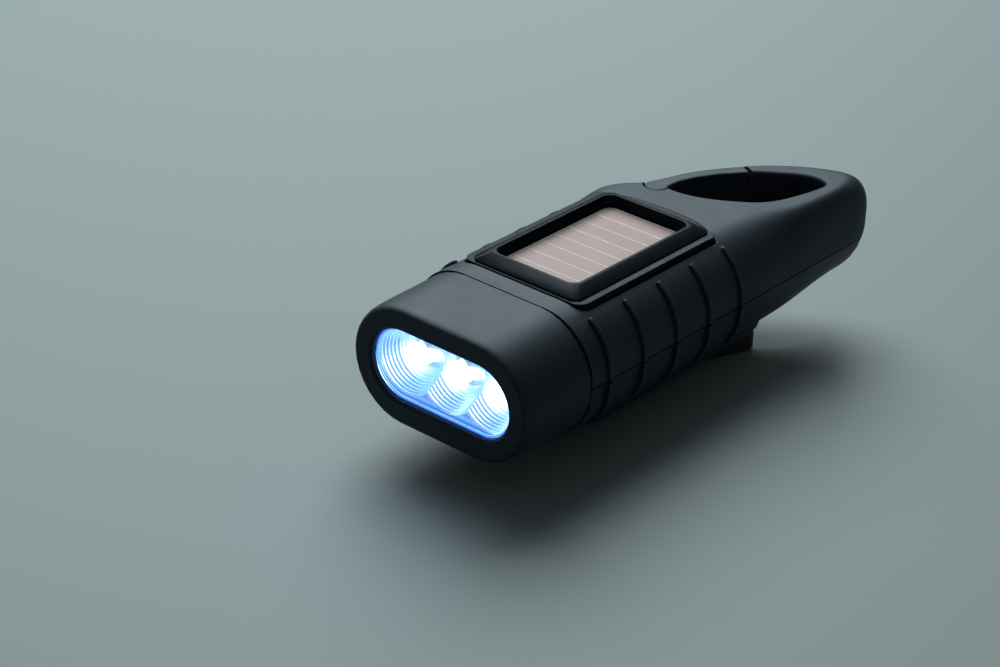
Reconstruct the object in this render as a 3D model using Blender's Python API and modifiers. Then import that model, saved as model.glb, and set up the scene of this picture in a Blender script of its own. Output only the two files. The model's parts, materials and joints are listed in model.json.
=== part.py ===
"""Hand crank flashlight with a solar panel and a carabiner tail.

Every piece hangs from the empty flashlight_frame. In that frame y runs back from the
face of the head, z runs up from the parting plane of the shells and x = 0 is the middle.
The flashlight rests on the flat underside of its folded crank.
"""
import math

import bmesh
import bpy
from mathutils import Matrix, Vector

MM = 0.001

# Driving dimensions
BODY_WIDTH = 48.0 * MM
BODY_HEIGHT = 27.8 * MM
BODY_LENGTH = 121.0 * MM
HEAD_LENGTH = 19.6 * MM
BARREL_LENGTH = 46.4 * MM
SEAT_RISE = 2.7 * MM
ARM_THICKNESS = 4.9 * MM
WALL = 2.0 * MM
GAP = 0.3 * MM
OVERRUN = 3.0 * MM
SINK = 0.4 * MM
MERGE = 0.001 * MM

HALF_WIDTH = BODY_WIDTH / 2
HALF_HEIGHT = BODY_HEIGHT / 2
TAIL_START = HEAD_LENGTH + BARREL_LENGTH
TAIL_LENGTH = BODY_LENGTH - TAIL_START
SEAT_DEPTH = HALF_HEIGHT + SEAT_RISE
ARM_TOP = SEAT_DEPTH + GAP
REST_DEPTH = ARM_TOP + ARM_THICKNESS
BODY_START = HEAD_LENGTH + GAP

for old in list(bpy.data.objects):
    bpy.data.objects.remove(old, do_unlink=True)

part_collection = bpy.data.collections.new("hand_crank_flashlight")
cutter_collection = bpy.data.collections.new("cutters")
bpy.context.scene.collection.children.link(part_collection)
bpy.context.scene.collection.children.link(cutter_collection)

frame = bpy.data.objects.new("flashlight_frame", None)
frame.location = (0, -BODY_LENGTH / 2, REST_DEPTH)
part_collection.objects.link(frame)


# Materials

def material(name, colour, roughness, metallic=0.0):
    """Return a Principled material of one colour."""
    made = bpy.data.materials.new(name)
    made.use_nodes = True
    shader = made.node_tree.nodes["Principled BSDF"]
    shader.inputs["Base Color"].default_value = (*colour, 1.0)
    shader.inputs["Roughness"].default_value = roughness
    shader.inputs["Metallic"].default_value = metallic
    return made


soft_black = material("soft_black", (0.020, 0.023, 0.027), 0.55)
gloss_black = material("gloss_black", (0.016, 0.018, 0.021), 0.35)
crank_black = material("crank_black", (0.012, 0.013, 0.015), 0.45)
cell_pink = material("cell_pink", (0.48, 0.33, 0.31), 0.35)
clear_plastic = material("clear_plastic", (0.85, 0.90, 0.95), 0.05)
chrome = material("chrome", (0.80, 0.82, 0.85), 0.10, 1.0)
led_white = material("led_white", (0.85, 0.92, 1.0), 0.20)
board_green = material("board_green", (0.03, 0.16, 0.06), 0.50)
steel = material("steel", (0.55, 0.55, 0.56), 0.30, 1.0)
nylon_white = material("nylon_white", (0.78, 0.77, 0.72), 0.45)
copper = material("copper", (0.72, 0.35, 0.18), 0.35, 1.0)


# Tools shared by the pieces

def place(mesh, name, look, home, origin=(0, 0, 0)):
    """Wrap a mesh in an object under the frame, with its origin at the given point."""
    mesh.transform(Matrix.Translation(-Vector(origin)))
    made = bpy.data.objects.new(name, mesh)
    made.location = origin
    made.parent = frame
    if look:
        made.data.materials.append(look)
    home.objects.link(made)
    return made


def finish(bm, name, look=None, origin=(0, 0, 0), smooth=None):
    """Turn a bmesh into a piece, or into a cutter when it has no look."""
    bmesh.ops.recalc_face_normals(bm, faces=bm.faces)
    mesh = bpy.data.meshes.new(name)
    bm.to_mesh(mesh)
    bm.free()
    if smooth:
        mesh.shade_smooth()
        mesh.set_sharp_from_angle(angle=math.radians(smooth))
    made = place(mesh, name, look, part_collection if look else cutter_collection, origin)
    if not look:
        made.hide_render = True
        made.display_type = "WIRE"
    return made


def add_box(bm, x_range, y_range, z_range):
    """Add a box between pairs of coordinates."""
    spans = (x_range, y_range, z_range)
    centre = Vector([(low + high) / 2 for low, high in spans])
    size = Vector([high - low for low, high in spans])
    matrix = Matrix.Translation(centre) @ Matrix.Diagonal((*size, 1.0))
    bmesh.ops.create_cube(bm, size=1.0, matrix=matrix)


def add_cylinder(bm, centre, radius, span, sides=24, axis="Z", top_radius=None):
    """Add a cylinder or cone along an axis, between two places on it."""
    low, high = span
    turn = {
        "Z": Matrix.Identity(4),
        "X": Matrix.Rotation(math.radians(90), 4, "Y"),
        "Y": Matrix.Rotation(math.radians(-90), 4, "X"),
    }[axis]
    along = {"Z": Vector((0, 0, 1)), "X": Vector((1, 0, 0)), "Y": Vector((0, 1, 0))}[axis]
    middle = Vector(centre) + along * ((low + high) / 2 - Vector(centre).dot(along))
    bmesh.ops.create_cone(
        bm,
        cap_ends=True,
        segments=sides,
        radius1=radius,
        radius2=radius if top_radius is None else top_radius,
        depth=high - low,
        matrix=Matrix.Translation(middle) @ turn,
    )


def add_prism(bm, outline, z_range):
    """Add an upright prism over a closed outline of x and y places."""
    low, high = z_range
    face = bm.faces.new([bm.verts.new((x, y, low)) for x, y in outline])
    made = bmesh.ops.extrude_face_region(bm, geom=[face])
    tops = [item for item in made["geom"] if isinstance(item, bmesh.types.BMVert)]
    bmesh.ops.translate(bm, verts=tops, vec=(0, 0, high - low))


def add_loft(bm, rings):
    """Add a skin through rings of equal count, with flat caps on its first and last."""
    rows = [[bm.verts.new(point) for point in ring] for ring in rings]
    count = len(rows[0])
    for row, following in zip(rows, rows[1:]):
        for index in range(count):
            after = (index + 1) % count
            bm.faces.new((row[index], row[after], following[after], following[index]))
    bm.faces.new(rows[0])
    bm.faces.new(rows[-1])


def add_rungs(bm, row):
    """Fill an open row of verts with strips between its right and left sides."""
    first, last = 0, len(row) - 1
    while last - first > 1:
        strip = [row[first], row[first + 1], row[last - 1], row[last]]
        if last - first == 2:
            strip.pop(1)
        bm.faces.new(strip)
        first, last = first + 1, last - 1


def turned(name, profile, look, origin, sides=24, axis="Z", smooth=40):
    """A piece turned about an axis through its origin, from radius and height places."""
    mesh = bpy.data.meshes.new(name)
    mesh.from_pydata([(radius, 0, height) for radius, height in profile], [
        (index, index + 1) for index in range(len(profile) - 1)
    ], [])
    source = bpy.data.objects.new(name + "_profile", mesh)
    part_collection.objects.link(source)
    screw = source.modifiers.new("turn", "SCREW")
    screw.axis = "Z"
    screw.steps = sides
    screw.render_steps = sides
    screw.use_merge_vertices = True
    screw.merge_threshold = MERGE
    bpy.context.view_layer.update()
    solid = bpy.data.meshes.new_from_object(source.evaluated_get(
        bpy.context.evaluated_depsgraph_get()
    ))
    bpy.data.objects.remove(source, do_unlink=True)
    bm = bmesh.new()
    bm.from_mesh(solid)
    bmesh.ops.remove_doubles(bm, verts=bm.verts, dist=MERGE)
    if axis == "-Y":
        bm.transform(Matrix.Rotation(math.radians(90), 4, "X"))
    if axis == "Y":
        bm.transform(Matrix.Rotation(math.radians(-90), 4, "X"))
    if axis == "X":
        bm.transform(Matrix.Rotation(math.radians(90), 4, "Y"))
    bm.transform(Matrix.Translation(Vector(origin)))
    return finish(bm, name, look, origin, smooth)


def boolean(target, tool, operation):
    """Cut a tool from a piece, or join it to the piece."""
    modifier = target.modifiers.new(f"{operation.lower()}_{tool.name}", "BOOLEAN")
    modifier.operation = operation
    modifier.object = tool
    modifier.solver = "EXACT"


def spline(points, steps):
    """Points of a smooth open curve through the given points."""
    made = []
    last = len(points) - 1
    for index in range(last):
        before = Vector(points[max(index - 1, 0)])
        start = Vector(points[index])
        end = Vector(points[index + 1])
        after = Vector(points[min(index + 2, last)])
        for step in range(steps):
            t = step / steps
            made.append(
                0.5 * (
                    2 * start
                    + (end - before) * t
                    + (2 * before - 5 * start + 4 * end - after) * t ** 2
                    + (3 * start - before - 3 * end + after) * t ** 3
                )
            )
    made.append(Vector(points[-1]))
    return made


def arc(centre, radius, first, last, steps):
    """Places on an arc between two angles in degrees."""
    return [
        (
            centre[0] + radius * math.cos(math.radians(first + (last - first) * step / steps)),
            centre[1] + radius * math.sin(math.radians(first + (last - first) * step / steps)),
        )
        for step in range(steps + 1)
    ]


def slot_ring(half_width, half_height, y, end_steps=16):
    """Ring in an xz plane with full round ends, wider than it is high."""
    reach = half_width - half_height
    right = arc((reach, 0), half_height, -90, 90, end_steps)
    left = arc((-reach, 0), half_height, 90, 270, end_steps)
    return [(x, y, z) for x, z in right + left]


def tail_points(shares):
    """Places on the tail from shares of the half width and of the tail's length."""
    return [(x * HALF_WIDTH, TAIL_START + y * TAIL_LENGTH) for x, y in shares]


# Housing form
# The sides are full rounds along the body. Towards the tail the upper edge tightens to a
# crisp rim, the widest line climbs, the belly rises and the left side turns in to the gate.

SIDE_BAND = 1.0 * MM
SIDE_ROUND = HALF_HEIGHT - SIDE_BAND
ROUND_STEPS = 5
OUTLINE_STEPS = 2
UPPER_BLEND_STEPS = 3
LOWER_BLEND_STEPS = 8
SQUARE_SHARE = 0.25
FLAT_ANGLE = 0.06

# Each row: x share and y share of the widest line, inset of the top edge and of the bottom
# edge as shares of the side round, depth of the belly and climb of the widest line as
# shares of the half height
TAIL_OUTLINE_SHARES = [
    (1.0, 0.0, 1.0, 1.0, 1.0, 0.0),
    (1.0, 0.18, 0.88, 1.0, 1.0, 0.0),
    (1.0, 0.31, 0.77, 1.0, 1.0, 0.0),
    (1.0, 0.41, 0.60, 1.0, 0.98, 0.0),
    (1.0, 0.51, 0.36, 1.0, 0.93, 0.02),
    (1.0, 0.64, 0.20, 1.0, 0.85, 0.08),
    (1.004, 0.76, 0.18, 0.92, 0.77, 0.15),
    (1.004, 0.86, 0.26, 0.80, 0.70, 0.22),
    (0.975, 0.94, 0.38, 0.68, 0.65, 0.28),
    (0.875, 0.99, 0.43, 0.60, 0.62, 0.31),
    (0.72, 1.0, 0.40, 0.60, 0.62, 0.31),
    (0.54, 0.973, 0.33, 0.62, 0.64, 0.27),
    (0.30, 0.905, 0.23, 0.56, 0.69, 0.19),
    (0.08, 0.820, 0.17, 0.52, 0.75, 0.11),
    (-0.11, 0.728, 0.15, 0.50, 0.81, 0.05),
    (-0.29, 0.620, 0.15, 0.50, 0.88, 0.02),
    (-0.43, 0.510, 0.15, 0.50, 0.94, 0.0),
    (-0.52, 0.400, 0.15, 0.50, 0.98, 0.0),
    (-0.60, 0.305, 0.15, 0.52, 1.0, 0.0),
    (-0.76, 0.250, 0.28, 0.60, 1.0, 0.0),
    (-0.92, 0.175, 0.52, 0.74, 1.0, 0.0),
    (-0.985, 0.09, 0.76, 0.88, 1.0, 0.0),
    (-1.0, 0.0, 1.0, 1.0, 1.0, 0.0),
]


def section_places(row, upper):
    """Inset and height of each ring at one row, from the parting plane to the flat face."""
    top_inset, bottom_inset = row[2] * SIDE_ROUND, row[3] * SIDE_ROUND
    climb = row[5] * HALF_HEIGHT
    belly_centre = climb - SIDE_BAND
    belly_rise = row[4] * HALF_HEIGHT + belly_centre
    parting = GAP / 2 if upper else -GAP / 2
    start = math.asin(max(belly_centre - parting, 0) / belly_rise)
    made = [(bottom_inset * (1 - math.cos(start)), parting)]
    if upper:
        crown_centre = climb + SIDE_BAND
        for step in range(ROUND_STEPS + 1):
            angle = math.pi / 2 * step / ROUND_STEPS
            height = crown_centre + (HALF_HEIGHT - crown_centre) * math.sin(angle)
            made.append((top_inset * (1 - math.cos(angle)), height))
        return made
    for step in range(1, ROUND_STEPS + 1):
        angle = start + (math.pi / 2 - start) * step / ROUND_STEPS
        height = belly_centre - belly_rise * math.sin(angle)
        made.append((bottom_inset * (1 - math.cos(angle)), height))
    return made


def hull_rings(upper):
    """Rings of one half of the housing, from the parting plane to its flat face.

    The rings are drawn in square to the outline, in a direction averaged over near rows so
    that they don't cross at the corner, and square to the body where the tail starts.
    """
    front = (1.0, (BODY_START - TAIL_START) / TAIL_LENGTH, 1.0, 1.0, 1.0, 0.0)
    back = (-1.0, *front[1:])
    rows = [front] + spline(TAIL_OUTLINE_SHARES, OUTLINE_STEPS) + [back]
    places = [Vector(point) for point in tail_points([(row[0], row[1]) for row in rows])]
    last = len(places) - 1
    normals = []
    for index in range(len(places)):
        along = places[min(index + 1, last)] - places[max(index - 1, 0)]
        normals.append(Vector((-along.y, along.x)).normalized())
    blend = UPPER_BLEND_STEPS if upper else LOWER_BLEND_STEPS
    inward = []
    for index, place in enumerate(places):
        near = normals[max(index - blend, 0):index + blend + 1]
        direction = sum(near, Vector((0, 0)))
        tail_share = (place.y - TAIL_START) / TAIL_LENGTH
        direction.y *= min(max(tail_share / SQUARE_SHARE, 0), 1)
        inward.append(direction.normalized())
    columns = []
    for row, place, direction in zip(rows, places, inward):
        column = []
        for inset, height in section_places(row, upper):
            moved = place + direction * inset
            column.append((moved.x, moved.y, height))
        columns.append(column)
    return [list(ring) for ring in zip(*columns)]


def hull(name, look, upper):
    """One half of the housing as a solid block, still without its hollow."""
    bm = bmesh.new()
    rows = [[bm.verts.new(point) for point in ring] for ring in hull_rings(upper)]
    for row, following in zip(rows, rows[1:]):
        for index in range(len(row) - 1):
            bm.faces.new((row[index], row[index + 1], following[index + 1], following[index]))
    bm.faces.new([row[0] for row in rows] + [row[-1] for row in reversed(rows)])
    bm.faces.new(rows[0])
    if upper:
        bm.faces.new(rows[-1])
    else:
        add_rungs(bm, rows[-1])
    bmesh.ops.connect_verts_nonplanar(bm, angle_limit=math.radians(FLAT_ANGLE), faces=bm.faces)
    return finish(bm, name, look, smooth=35)


upper_shell = hull("upper_shell", soft_black, True)
lower_shell = hull("lower_shell", soft_black, False)

# Grip ribs
# Five narrow ridges over each side, half on the upper shell and half on the lower.

RIB_COUNT = 5
RIB_START = 5.5 * MM
RIB_PITCH = 11.1 * MM
RIB_WIDTH = 1.3 * MM
RIB_RISE = 0.7 * MM
RIB_TOP_ANGLE = 58
RIB_BOTTOM_ANGLE = 40
RIB_STEPS = 5


def ribs(name, upper):
    """All the ribs of one shell as a joining tool."""
    bm = bmesh.new()
    centre = HALF_WIDTH - SIDE_ROUND
    turn = RIB_TOP_ANGLE if upper else RIB_BOTTOM_ANGLE
    outer = arc((centre, SIDE_BAND), SIDE_ROUND + RIB_RISE, 0, turn, RIB_STEPS)
    inner = arc((centre, SIDE_BAND), SIDE_ROUND - SINK, turn, 0, RIB_STEPS)
    section = [(outer[0][0], GAP / 2)] + outer + inner + [(inner[-1][0], GAP / 2)]
    height_side = 1 if upper else -1
    for side in (1, -1):
        for index in range(RIB_COUNT):
            start = BODY_START + RIB_START + index * RIB_PITCH - RIB_WIDTH / 2
            rings = [
                [(side * x, y, height_side * z) for x, z in section]
                for y in (start, start + RIB_WIDTH)
            ]
            add_loft(bm, rings)
    return finish(bm, name)


boolean(upper_shell, ribs("upper_ribs", True), "UNION")
boolean(lower_shell, ribs("lower_ribs", False), "UNION")

# Crank seat
# A shallow pad under the lower shell that carries the crank. Its sloped rear edge runs
# beside the carabiner opening.

SEAT_MARGIN = 8.5 * MM
SEAT_START = 10.6 * MM
SEAT_SLOPE = 3.0 * MM
SEAT_CORNER = 4.0 * MM
SEAT_HALF_WIDTH = HALF_WIDTH - SEAT_MARGIN
SEAT_FRONT = BODY_START + SEAT_START
SEAT_ROOT = HALF_HEIGHT - WALL + SINK
SEAT_BACK_SHARES = [
    (0.646, 0.40),
    (0.610, 0.500),
    (0.560, 0.530),
    (0.18, 0.295),
    (-0.05, 0.225),
    (-0.50, 0.205),
    (-0.62, 0.165),
    (-0.646, 0.08),
]


def rounded_rectangle(half_width, y_range, corner, steps=4):
    """Closed outline of a rectangle with round corners."""
    low, high = y_range
    return (
        arc((half_width - corner, high - corner), corner, 0, 90, steps)
        + arc((corner - half_width, high - corner), corner, 90, 180, steps)
        + arc((corner - half_width, low + corner), corner, 180, 270, steps)
        + arc((half_width - corner, low + corner), corner, 270, 360, steps)
    )


seat_front_outline = arc(
    (SEAT_CORNER - SEAT_HALF_WIDTH, SEAT_FRONT + SEAT_CORNER), SEAT_CORNER, 180, 270, 4
) + arc((SEAT_HALF_WIDTH - SEAT_CORNER, SEAT_FRONT + SEAT_CORNER), SEAT_CORNER, 270, 360, 4)
seat_back_outline = tail_points(SEAT_BACK_SHARES)
seat_bm = bmesh.new()
add_loft(
    seat_bm,
    [
        [(x, y, -SEAT_ROOT) for x, y in seat_front_outline + seat_back_outline],
        [(x, y, -SEAT_DEPTH) for x, y in seat_front_outline]
        + [(x, y - SEAT_SLOPE, -SEAT_DEPTH) for x, y in seat_back_outline],
    ],
)
boolean(lower_shell, finish(seat_bm, "crank_seat"), "UNION")

# Hollow of the shells
# One tunnel that is open to the head and stops before the carabiner.

CEILING_THICKNESS = 4.0 * MM
HOLLOW_TAIL_REACH = 10.3 * MM
HOLLOW_TAIL_STRAIGHT = 2.0 * MM
HOLLOW_END_LEFT_SHARE = 0.72
HOLLOW_ROUND_STEPS = 5

CEILING = HALF_HEIGHT - CEILING_THICKNESS
FLOOR = HALF_HEIGHT - WALL
HOLLOW_END = TAIL_START + HOLLOW_TAIL_REACH
HOLLOW_NARROW_START = TAIL_START + HOLLOW_TAIL_STRAIGHT


def hollow_ring(left, right, y):
    """Ring of the hollow at one place along the body."""
    upper_right = arc((right - CEILING, 0), CEILING, 0, 90, HOLLOW_ROUND_STEPS)
    upper_left = arc((left + CEILING, 0), CEILING, 90, 180, HOLLOW_ROUND_STEPS)
    lower_left = arc((left + FLOOR, 0), FLOOR, 180, 270, HOLLOW_ROUND_STEPS)
    lower_right = arc((right - FLOOR, 0), FLOOR, 270, 360, HOLLOW_ROUND_STEPS)
    return [(x, y, z) for x, z in upper_right + upper_left + lower_left[1:] + lower_right[:-1]]


inner_half = HALF_WIDTH - WALL


def hollow(name):
    """The tunnel as a cutter for one shell."""
    bm = bmesh.new()
    add_loft(
        bm,
        [
            hollow_ring(-inner_half, inner_half, BODY_START - OVERRUN),
            hollow_ring(-inner_half, inner_half, HOLLOW_NARROW_START),
            hollow_ring(-inner_half * HOLLOW_END_LEFT_SHARE, inner_half, HOLLOW_END),
        ],
    )
    return finish(bm, name)


upper_hollow = hollow("upper_hollow")
lower_hollow = hollow("lower_hollow")
boolean(upper_shell, upper_hollow, "DIFFERENCE")
boolean(lower_shell, lower_hollow, "DIFFERENCE")

# Carabiner opening and gate room
# The opening leans from the gate's pivot towards the straight side of the tail.

OPENING_SHARES = [
    (-0.265, 0.305),
    (-0.075, 0.309),
    (0.183, 0.351),
    (0.488, 0.442),
    (0.617, 0.527),
    (0.692, 0.633),
    (0.738, 0.735),
    (0.722, 0.785),
    (0.600, 0.798),
    (0.458, 0.778),
    (0.300, 0.733),
    (0.108, 0.667),
    (-0.129, 0.533),
    (-0.279, 0.389),
]
OPENING_STEPS = 2
PIVOT_SHARE = (-0.383, 0.291)
KNUCKLE_RADIUS = 2.9 * MM
GATE_TIP_SHARE = (0.059, 0.6667)
GATE_FLOOR = 4.9 * MM
GATE_PIN_RADIUS = 1.0 * MM
GATE_LUG_RADIUS = 4.6 * MM
CUT_FIRST_ANGLE = 30
CUT_LAST_ANGLE = 182
LOW_CUT_EXTRA_ANGLE = 3
CUT_STEPS = 14

GATE_DEPTH = HALF_HEIGHT - GATE_FLOOR
pivot, gate_tip = tail_points([PIVOT_SHARE, GATE_TIP_SHARE])
GATE_REACH = math.dist(pivot, gate_tip)
tip_angle = math.degrees(math.atan2(gate_tip[1] - pivot[1], gate_tip[0] - pivot[0]))
opening_places = tail_points(OPENING_SHARES)
opening_curve = [
    (point.x, point.y) for point in spline(opening_places + opening_places[:1], OPENING_STEPS)[:-1]
]
opening_bm = bmesh.new()
add_prism(opening_bm, opening_curve, (-HALF_HEIGHT - OVERRUN, HALF_HEIGHT + OVERRUN))
opening = finish(opening_bm, "carabiner_opening")

gate_room_bm = bmesh.new()
gate_sweep = arc(pivot, GATE_REACH + GAP, CUT_FIRST_ANGLE, CUT_LAST_ANGLE, CUT_STEPS)
add_prism(
    gate_room_bm,
    gate_sweep
    + arc(pivot, KNUCKLE_RADIUS + GAP, CUT_LAST_ANGLE, CUT_FIRST_ANGLE + 360, CUT_STEPS),
    (-GATE_DEPTH - GAP, HALF_HEIGHT + OVERRUN),
)
gate_room = finish(gate_room_bm, "gate_room")
gate_gap_bm = bmesh.new()
low_first, low_last = CUT_FIRST_ANGLE - LOW_CUT_EXTRA_ANGLE, CUT_LAST_ANGLE + LOW_CUT_EXTRA_ANGLE
add_prism(
    gate_gap_bm,
    arc(pivot, GATE_REACH + GAP + GAP, low_first, low_last, CUT_STEPS - 1)
    + arc(pivot, GATE_LUG_RADIUS, low_last, low_first, CUT_STEPS // 2),
    (-HALF_HEIGHT - OVERRUN, -GATE_DEPTH),
)
gate_gap = finish(gate_gap_bm, "gate_gap")

boolean(gate_room, opening, "UNION")
boolean(gate_gap, gate_room, "UNION")
boolean(upper_shell, gate_room, "DIFFERENCE")
boolean(lower_shell, gate_gap, "DIFFERENCE")


def cylinder_tool(name, centre, radius, span, sides=24, axis="Z", top_radius=None):
    """A cylinder that cuts or joins."""
    bm = bmesh.new()
    add_cylinder(bm, centre, radius, span, sides, axis, top_radius)
    return finish(bm, name)


# Gate
# A solid arm hinged on an upright pin. Its tip is an arc about the pin, so it swings in.

GATE_EDGE = 1.0 * MM
GATE_TIP_INNER_ANGLE = 2.0
GATE_TIP_OUTER_ANGLE = 12.2
GATE_INNER_ANGLE = 38
GATE_KNUCKLE_STEPS = 10
GATE_TIP_STEPS = 3
GATE_INNER_SHARES = [(-0.279, 0.385), (-0.219, 0.462), (-0.106, 0.553), (0.020, 0.624)]
GATE_OUTER_SHARES = [(-0.285, 0.618), (-0.425, 0.510), (-0.508, 0.405)]
GATE_PIN_COVER = 5.9 * MM
GATE_PIN_FLOOR = 1.7 * MM

GATE_PIN_TOP = HALF_HEIGHT - GATE_PIN_COVER
GATE_PIN_BOTTOM = HALF_HEIGHT - GATE_PIN_FLOOR

gate_outline = (
    arc(pivot, KNUCKLE_RADIUS, 180, 360 + GATE_INNER_ANGLE, GATE_KNUCKLE_STEPS)
    + tail_points(GATE_INNER_SHARES)
    + arc(pivot, GATE_REACH, tip_angle - GATE_TIP_INNER_ANGLE, tip_angle + GATE_TIP_OUTER_ANGLE,
          GATE_TIP_STEPS)
    + tail_points(GATE_OUTER_SHARES)
)
gate_bm = bmesh.new()
add_prism(gate_bm, gate_outline, (-GATE_DEPTH, HALF_HEIGHT))
gate = finish(gate_bm, "carabiner_gate", soft_black, origin=(*pivot, 0), smooth=35)
gate_edges = gate.modifiers.new("edges", "BEVEL")
gate_edges.width = GATE_EDGE
gate_edges.segments = 2
gate_edges.limit_method = "ANGLE"
gate_edges.angle_limit = math.radians(60)
boolean(
    gate,
    cylinder_tool("gate_bore", (*pivot, 0), GATE_PIN_RADIUS + GAP,
                  (-GATE_DEPTH - OVERRUN, GATE_PIN_TOP + GAP), 20),
    "DIFFERENCE",
)

gate_pin_bm = bmesh.new()
add_cylinder(gate_pin_bm, (*pivot, 0), GATE_PIN_RADIUS, (-GATE_PIN_BOTTOM, GATE_PIN_TOP), 16)
finish(gate_pin_bm, "gate_pin", steel, smooth=40)
boolean(
    lower_shell,
    cylinder_tool("gate_pin_hole", (*pivot, 0), GATE_PIN_RADIUS + GAP,
                  (-GATE_PIN_BOTTOM - GAP, -GATE_DEPTH + OVERRUN), 20),
    "DIFFERENCE",
)

# Posts and screws
# Four columns take the screws that close the shells from below.

FRONT_SCREW_INSET = 4.8 * MM
FRONT_SCREW_START = 25.1 * MM
REAR_SCREW_SHARES = [(0.767, 0.364), (-0.725, 0.1545)]
COLUMN_RADIUS = 2.7 * MM
SCREW_RADIUS = 0.8 * MM
SCREW_TOP = 6.0 * MM
SCREW_RECESS = 5.3 * MM
SCREW_HEAD_RADIUS = 1.6 * MM
SCREW_HEAD_HEIGHT = 1.1 * MM
POST_RADIUS = 1.5 * MM
BOARD_POST_INSET = 7.0 * MM
BOARD_POST_START = 6.1 * MM
BOARD_POST_SPACING = 11.5 * MM
PLATE_POST_INSET = 5.8 * MM
PLATE_POST_START = 30.6 * MM
PLATE_POST_TAIL_REACH = 7.0 * MM
GEAR_STANDOFF = 2.0 * MM
LOW_GEAR_THICKNESS = 2.5 * MM
MIDDLE_GEAR_THICKNESS = 1.5 * MM
HIGH_GEAR_THICKNESS = 1.3 * MM
LAYER_GAP = 0.5 * MM
PLATE_STANDOFF = 0.9 * MM
PLATE_THICKNESS = 1.2 * MM

# Heights of the three gear layers, the plate over them and the main board
floor_top = -FLOOR + GAP
low_bottom = floor_top + GEAR_STANDOFF
low_top = low_bottom + LOW_GEAR_THICKNESS
middle_bottom = low_top + LAYER_GAP
middle_top = middle_bottom + MIDDLE_GEAR_THICKNESS
high_bottom = middle_top + LAYER_GAP
high_top = high_bottom + HIGH_GEAR_THICKNESS
plate_bottom = high_top + PLATE_STANDOFF
plate_top = plate_bottom + PLATE_THICKNESS
board_bottom = plate_top + PLATE_THICKNESS

screw_seat = HALF_HEIGHT - SCREW_RECESS
front_screw = HALF_WIDTH - FRONT_SCREW_INSET
front_screw_place = BODY_START + FRONT_SCREW_START
rear_right_screw, rear_left_screw = tail_points(REAR_SCREW_SHARES)
screw_places = {
    "front_right": (front_screw, front_screw_place),
    "front_left": (-front_screw, front_screw_place),
    "rear_right": rear_right_screw,
    "rear_left": rear_left_screw,
}
board_post = HALF_WIDTH - BOARD_POST_INSET
plate_post = HALF_WIDTH - PLATE_POST_INSET
plate_post_front = BODY_START + PLATE_POST_START
post_tops = [
    (side * board_post, BODY_START + start, board_bottom)
    for start in (BOARD_POST_START, BOARD_POST_START + BOARD_POST_SPACING)
    for side in (1, -1)
]
post_tops += [
    (plate_post, plate_post_front, plate_bottom),
    (-plate_post, plate_post_front, plate_bottom),
    (plate_post, TAIL_START + PLATE_POST_TAIL_REACH, plate_bottom),
]

for upper, target in ((True, upper_hollow), (False, lower_hollow)):
    column_bm = bmesh.new()
    for x, y in screw_places.values():
        span = (0, HALF_HEIGHT + OVERRUN) if upper else (-HALF_HEIGHT - OVERRUN, 0)
        add_cylinder(column_bm, (x, y, 0), COLUMN_RADIUS, span, 16)
    boolean(target, finish(column_bm, "upper_columns" if upper else "lower_columns"), "DIFFERENCE")

post_bm = bmesh.new()
for x, y, top in post_tops:
    add_cylinder(post_bm, (x, y, 0), POST_RADIUS, (-HALF_HEIGHT - OVERRUN, top - GAP), 12)
posts = finish(post_bm, "posts")
boolean(lower_hollow, posts, "DIFFERENCE")

screw_hole_bm = bmesh.new()
screw_seat_bm = bmesh.new()
for label, (x, y) in screw_places.items():
    centre = (x, y, 0)
    add_cylinder(screw_hole_bm, centre, SCREW_RADIUS + GAP, (-HALF_HEIGHT, SCREW_TOP + GAP), 12)
    seat_span = (-HALF_HEIGHT - OVERRUN, -screw_seat)
    add_cylinder(screw_seat_bm, centre, SCREW_HEAD_RADIUS + GAP, seat_span, 16)
    shank_start = -screw_seat - GAP
    profile = [
        (0, SCREW_TOP),
        (SCREW_RADIUS, SCREW_TOP - SCREW_RADIUS),
        (SCREW_RADIUS, shank_start),
        (SCREW_HEAD_RADIUS, shank_start),
        (SCREW_HEAD_RADIUS, shank_start - SCREW_HEAD_HEIGHT),
        (0, shank_start - SCREW_HEAD_HEIGHT),
    ]
    turned(f"screw_{label}", profile, steel, (x, y, 0), 12)
screw_holes = finish(screw_hole_bm, "screw_holes")
boolean(upper_shell, screw_holes, "DIFFERENCE")
boolean(lower_shell, screw_holes, "DIFFERENCE")
boolean(lower_shell, finish(screw_seat_bm, "screw_seats"), "DIFFERENCE")

# Head cap
# A hooded bezel that closes the front, with a lens opening and two lugs into the shells.

HEAD_SECTIONS_SHARES = [(0.0, 0.905), (0.02, 0.940), (0.075, 0.966), (0.22, 0.982), (1.0, 1.0)]
HEAD_SIDE = 4.7 * MM
HEAD_BROW = 5.0 * MM
LENS_LIP = 0.7 * MM
LENS_FRONT = 1.7 * MM
LENS_THICKNESS = 1.2 * MM
LUG_ROOT = 3.0 * MM
LUG_HALF_HEIGHT = 2.5 * MM
LUG_INSET = 0.7 * MM
LUG_THICKNESS = 1.6 * MM
LUG_REACH = 5.5 * MM

LENS_HALF_WIDTH = HALF_WIDTH - HEAD_SIDE
LENS_HALF_HEIGHT = HALF_HEIGHT - HEAD_BROW
head_bm = bmesh.new()
head_rings = []
for along, grown in HEAD_SECTIONS_SHARES:
    shrink = HALF_HEIGHT * (1 - grown)
    head_rings.append(slot_ring(HALF_WIDTH - shrink, HALF_HEIGHT - shrink, along * HEAD_LENGTH))
add_loft(head_bm, head_rings)
head_cap = finish(head_bm, "head_cap", soft_black, smooth=35)

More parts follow.
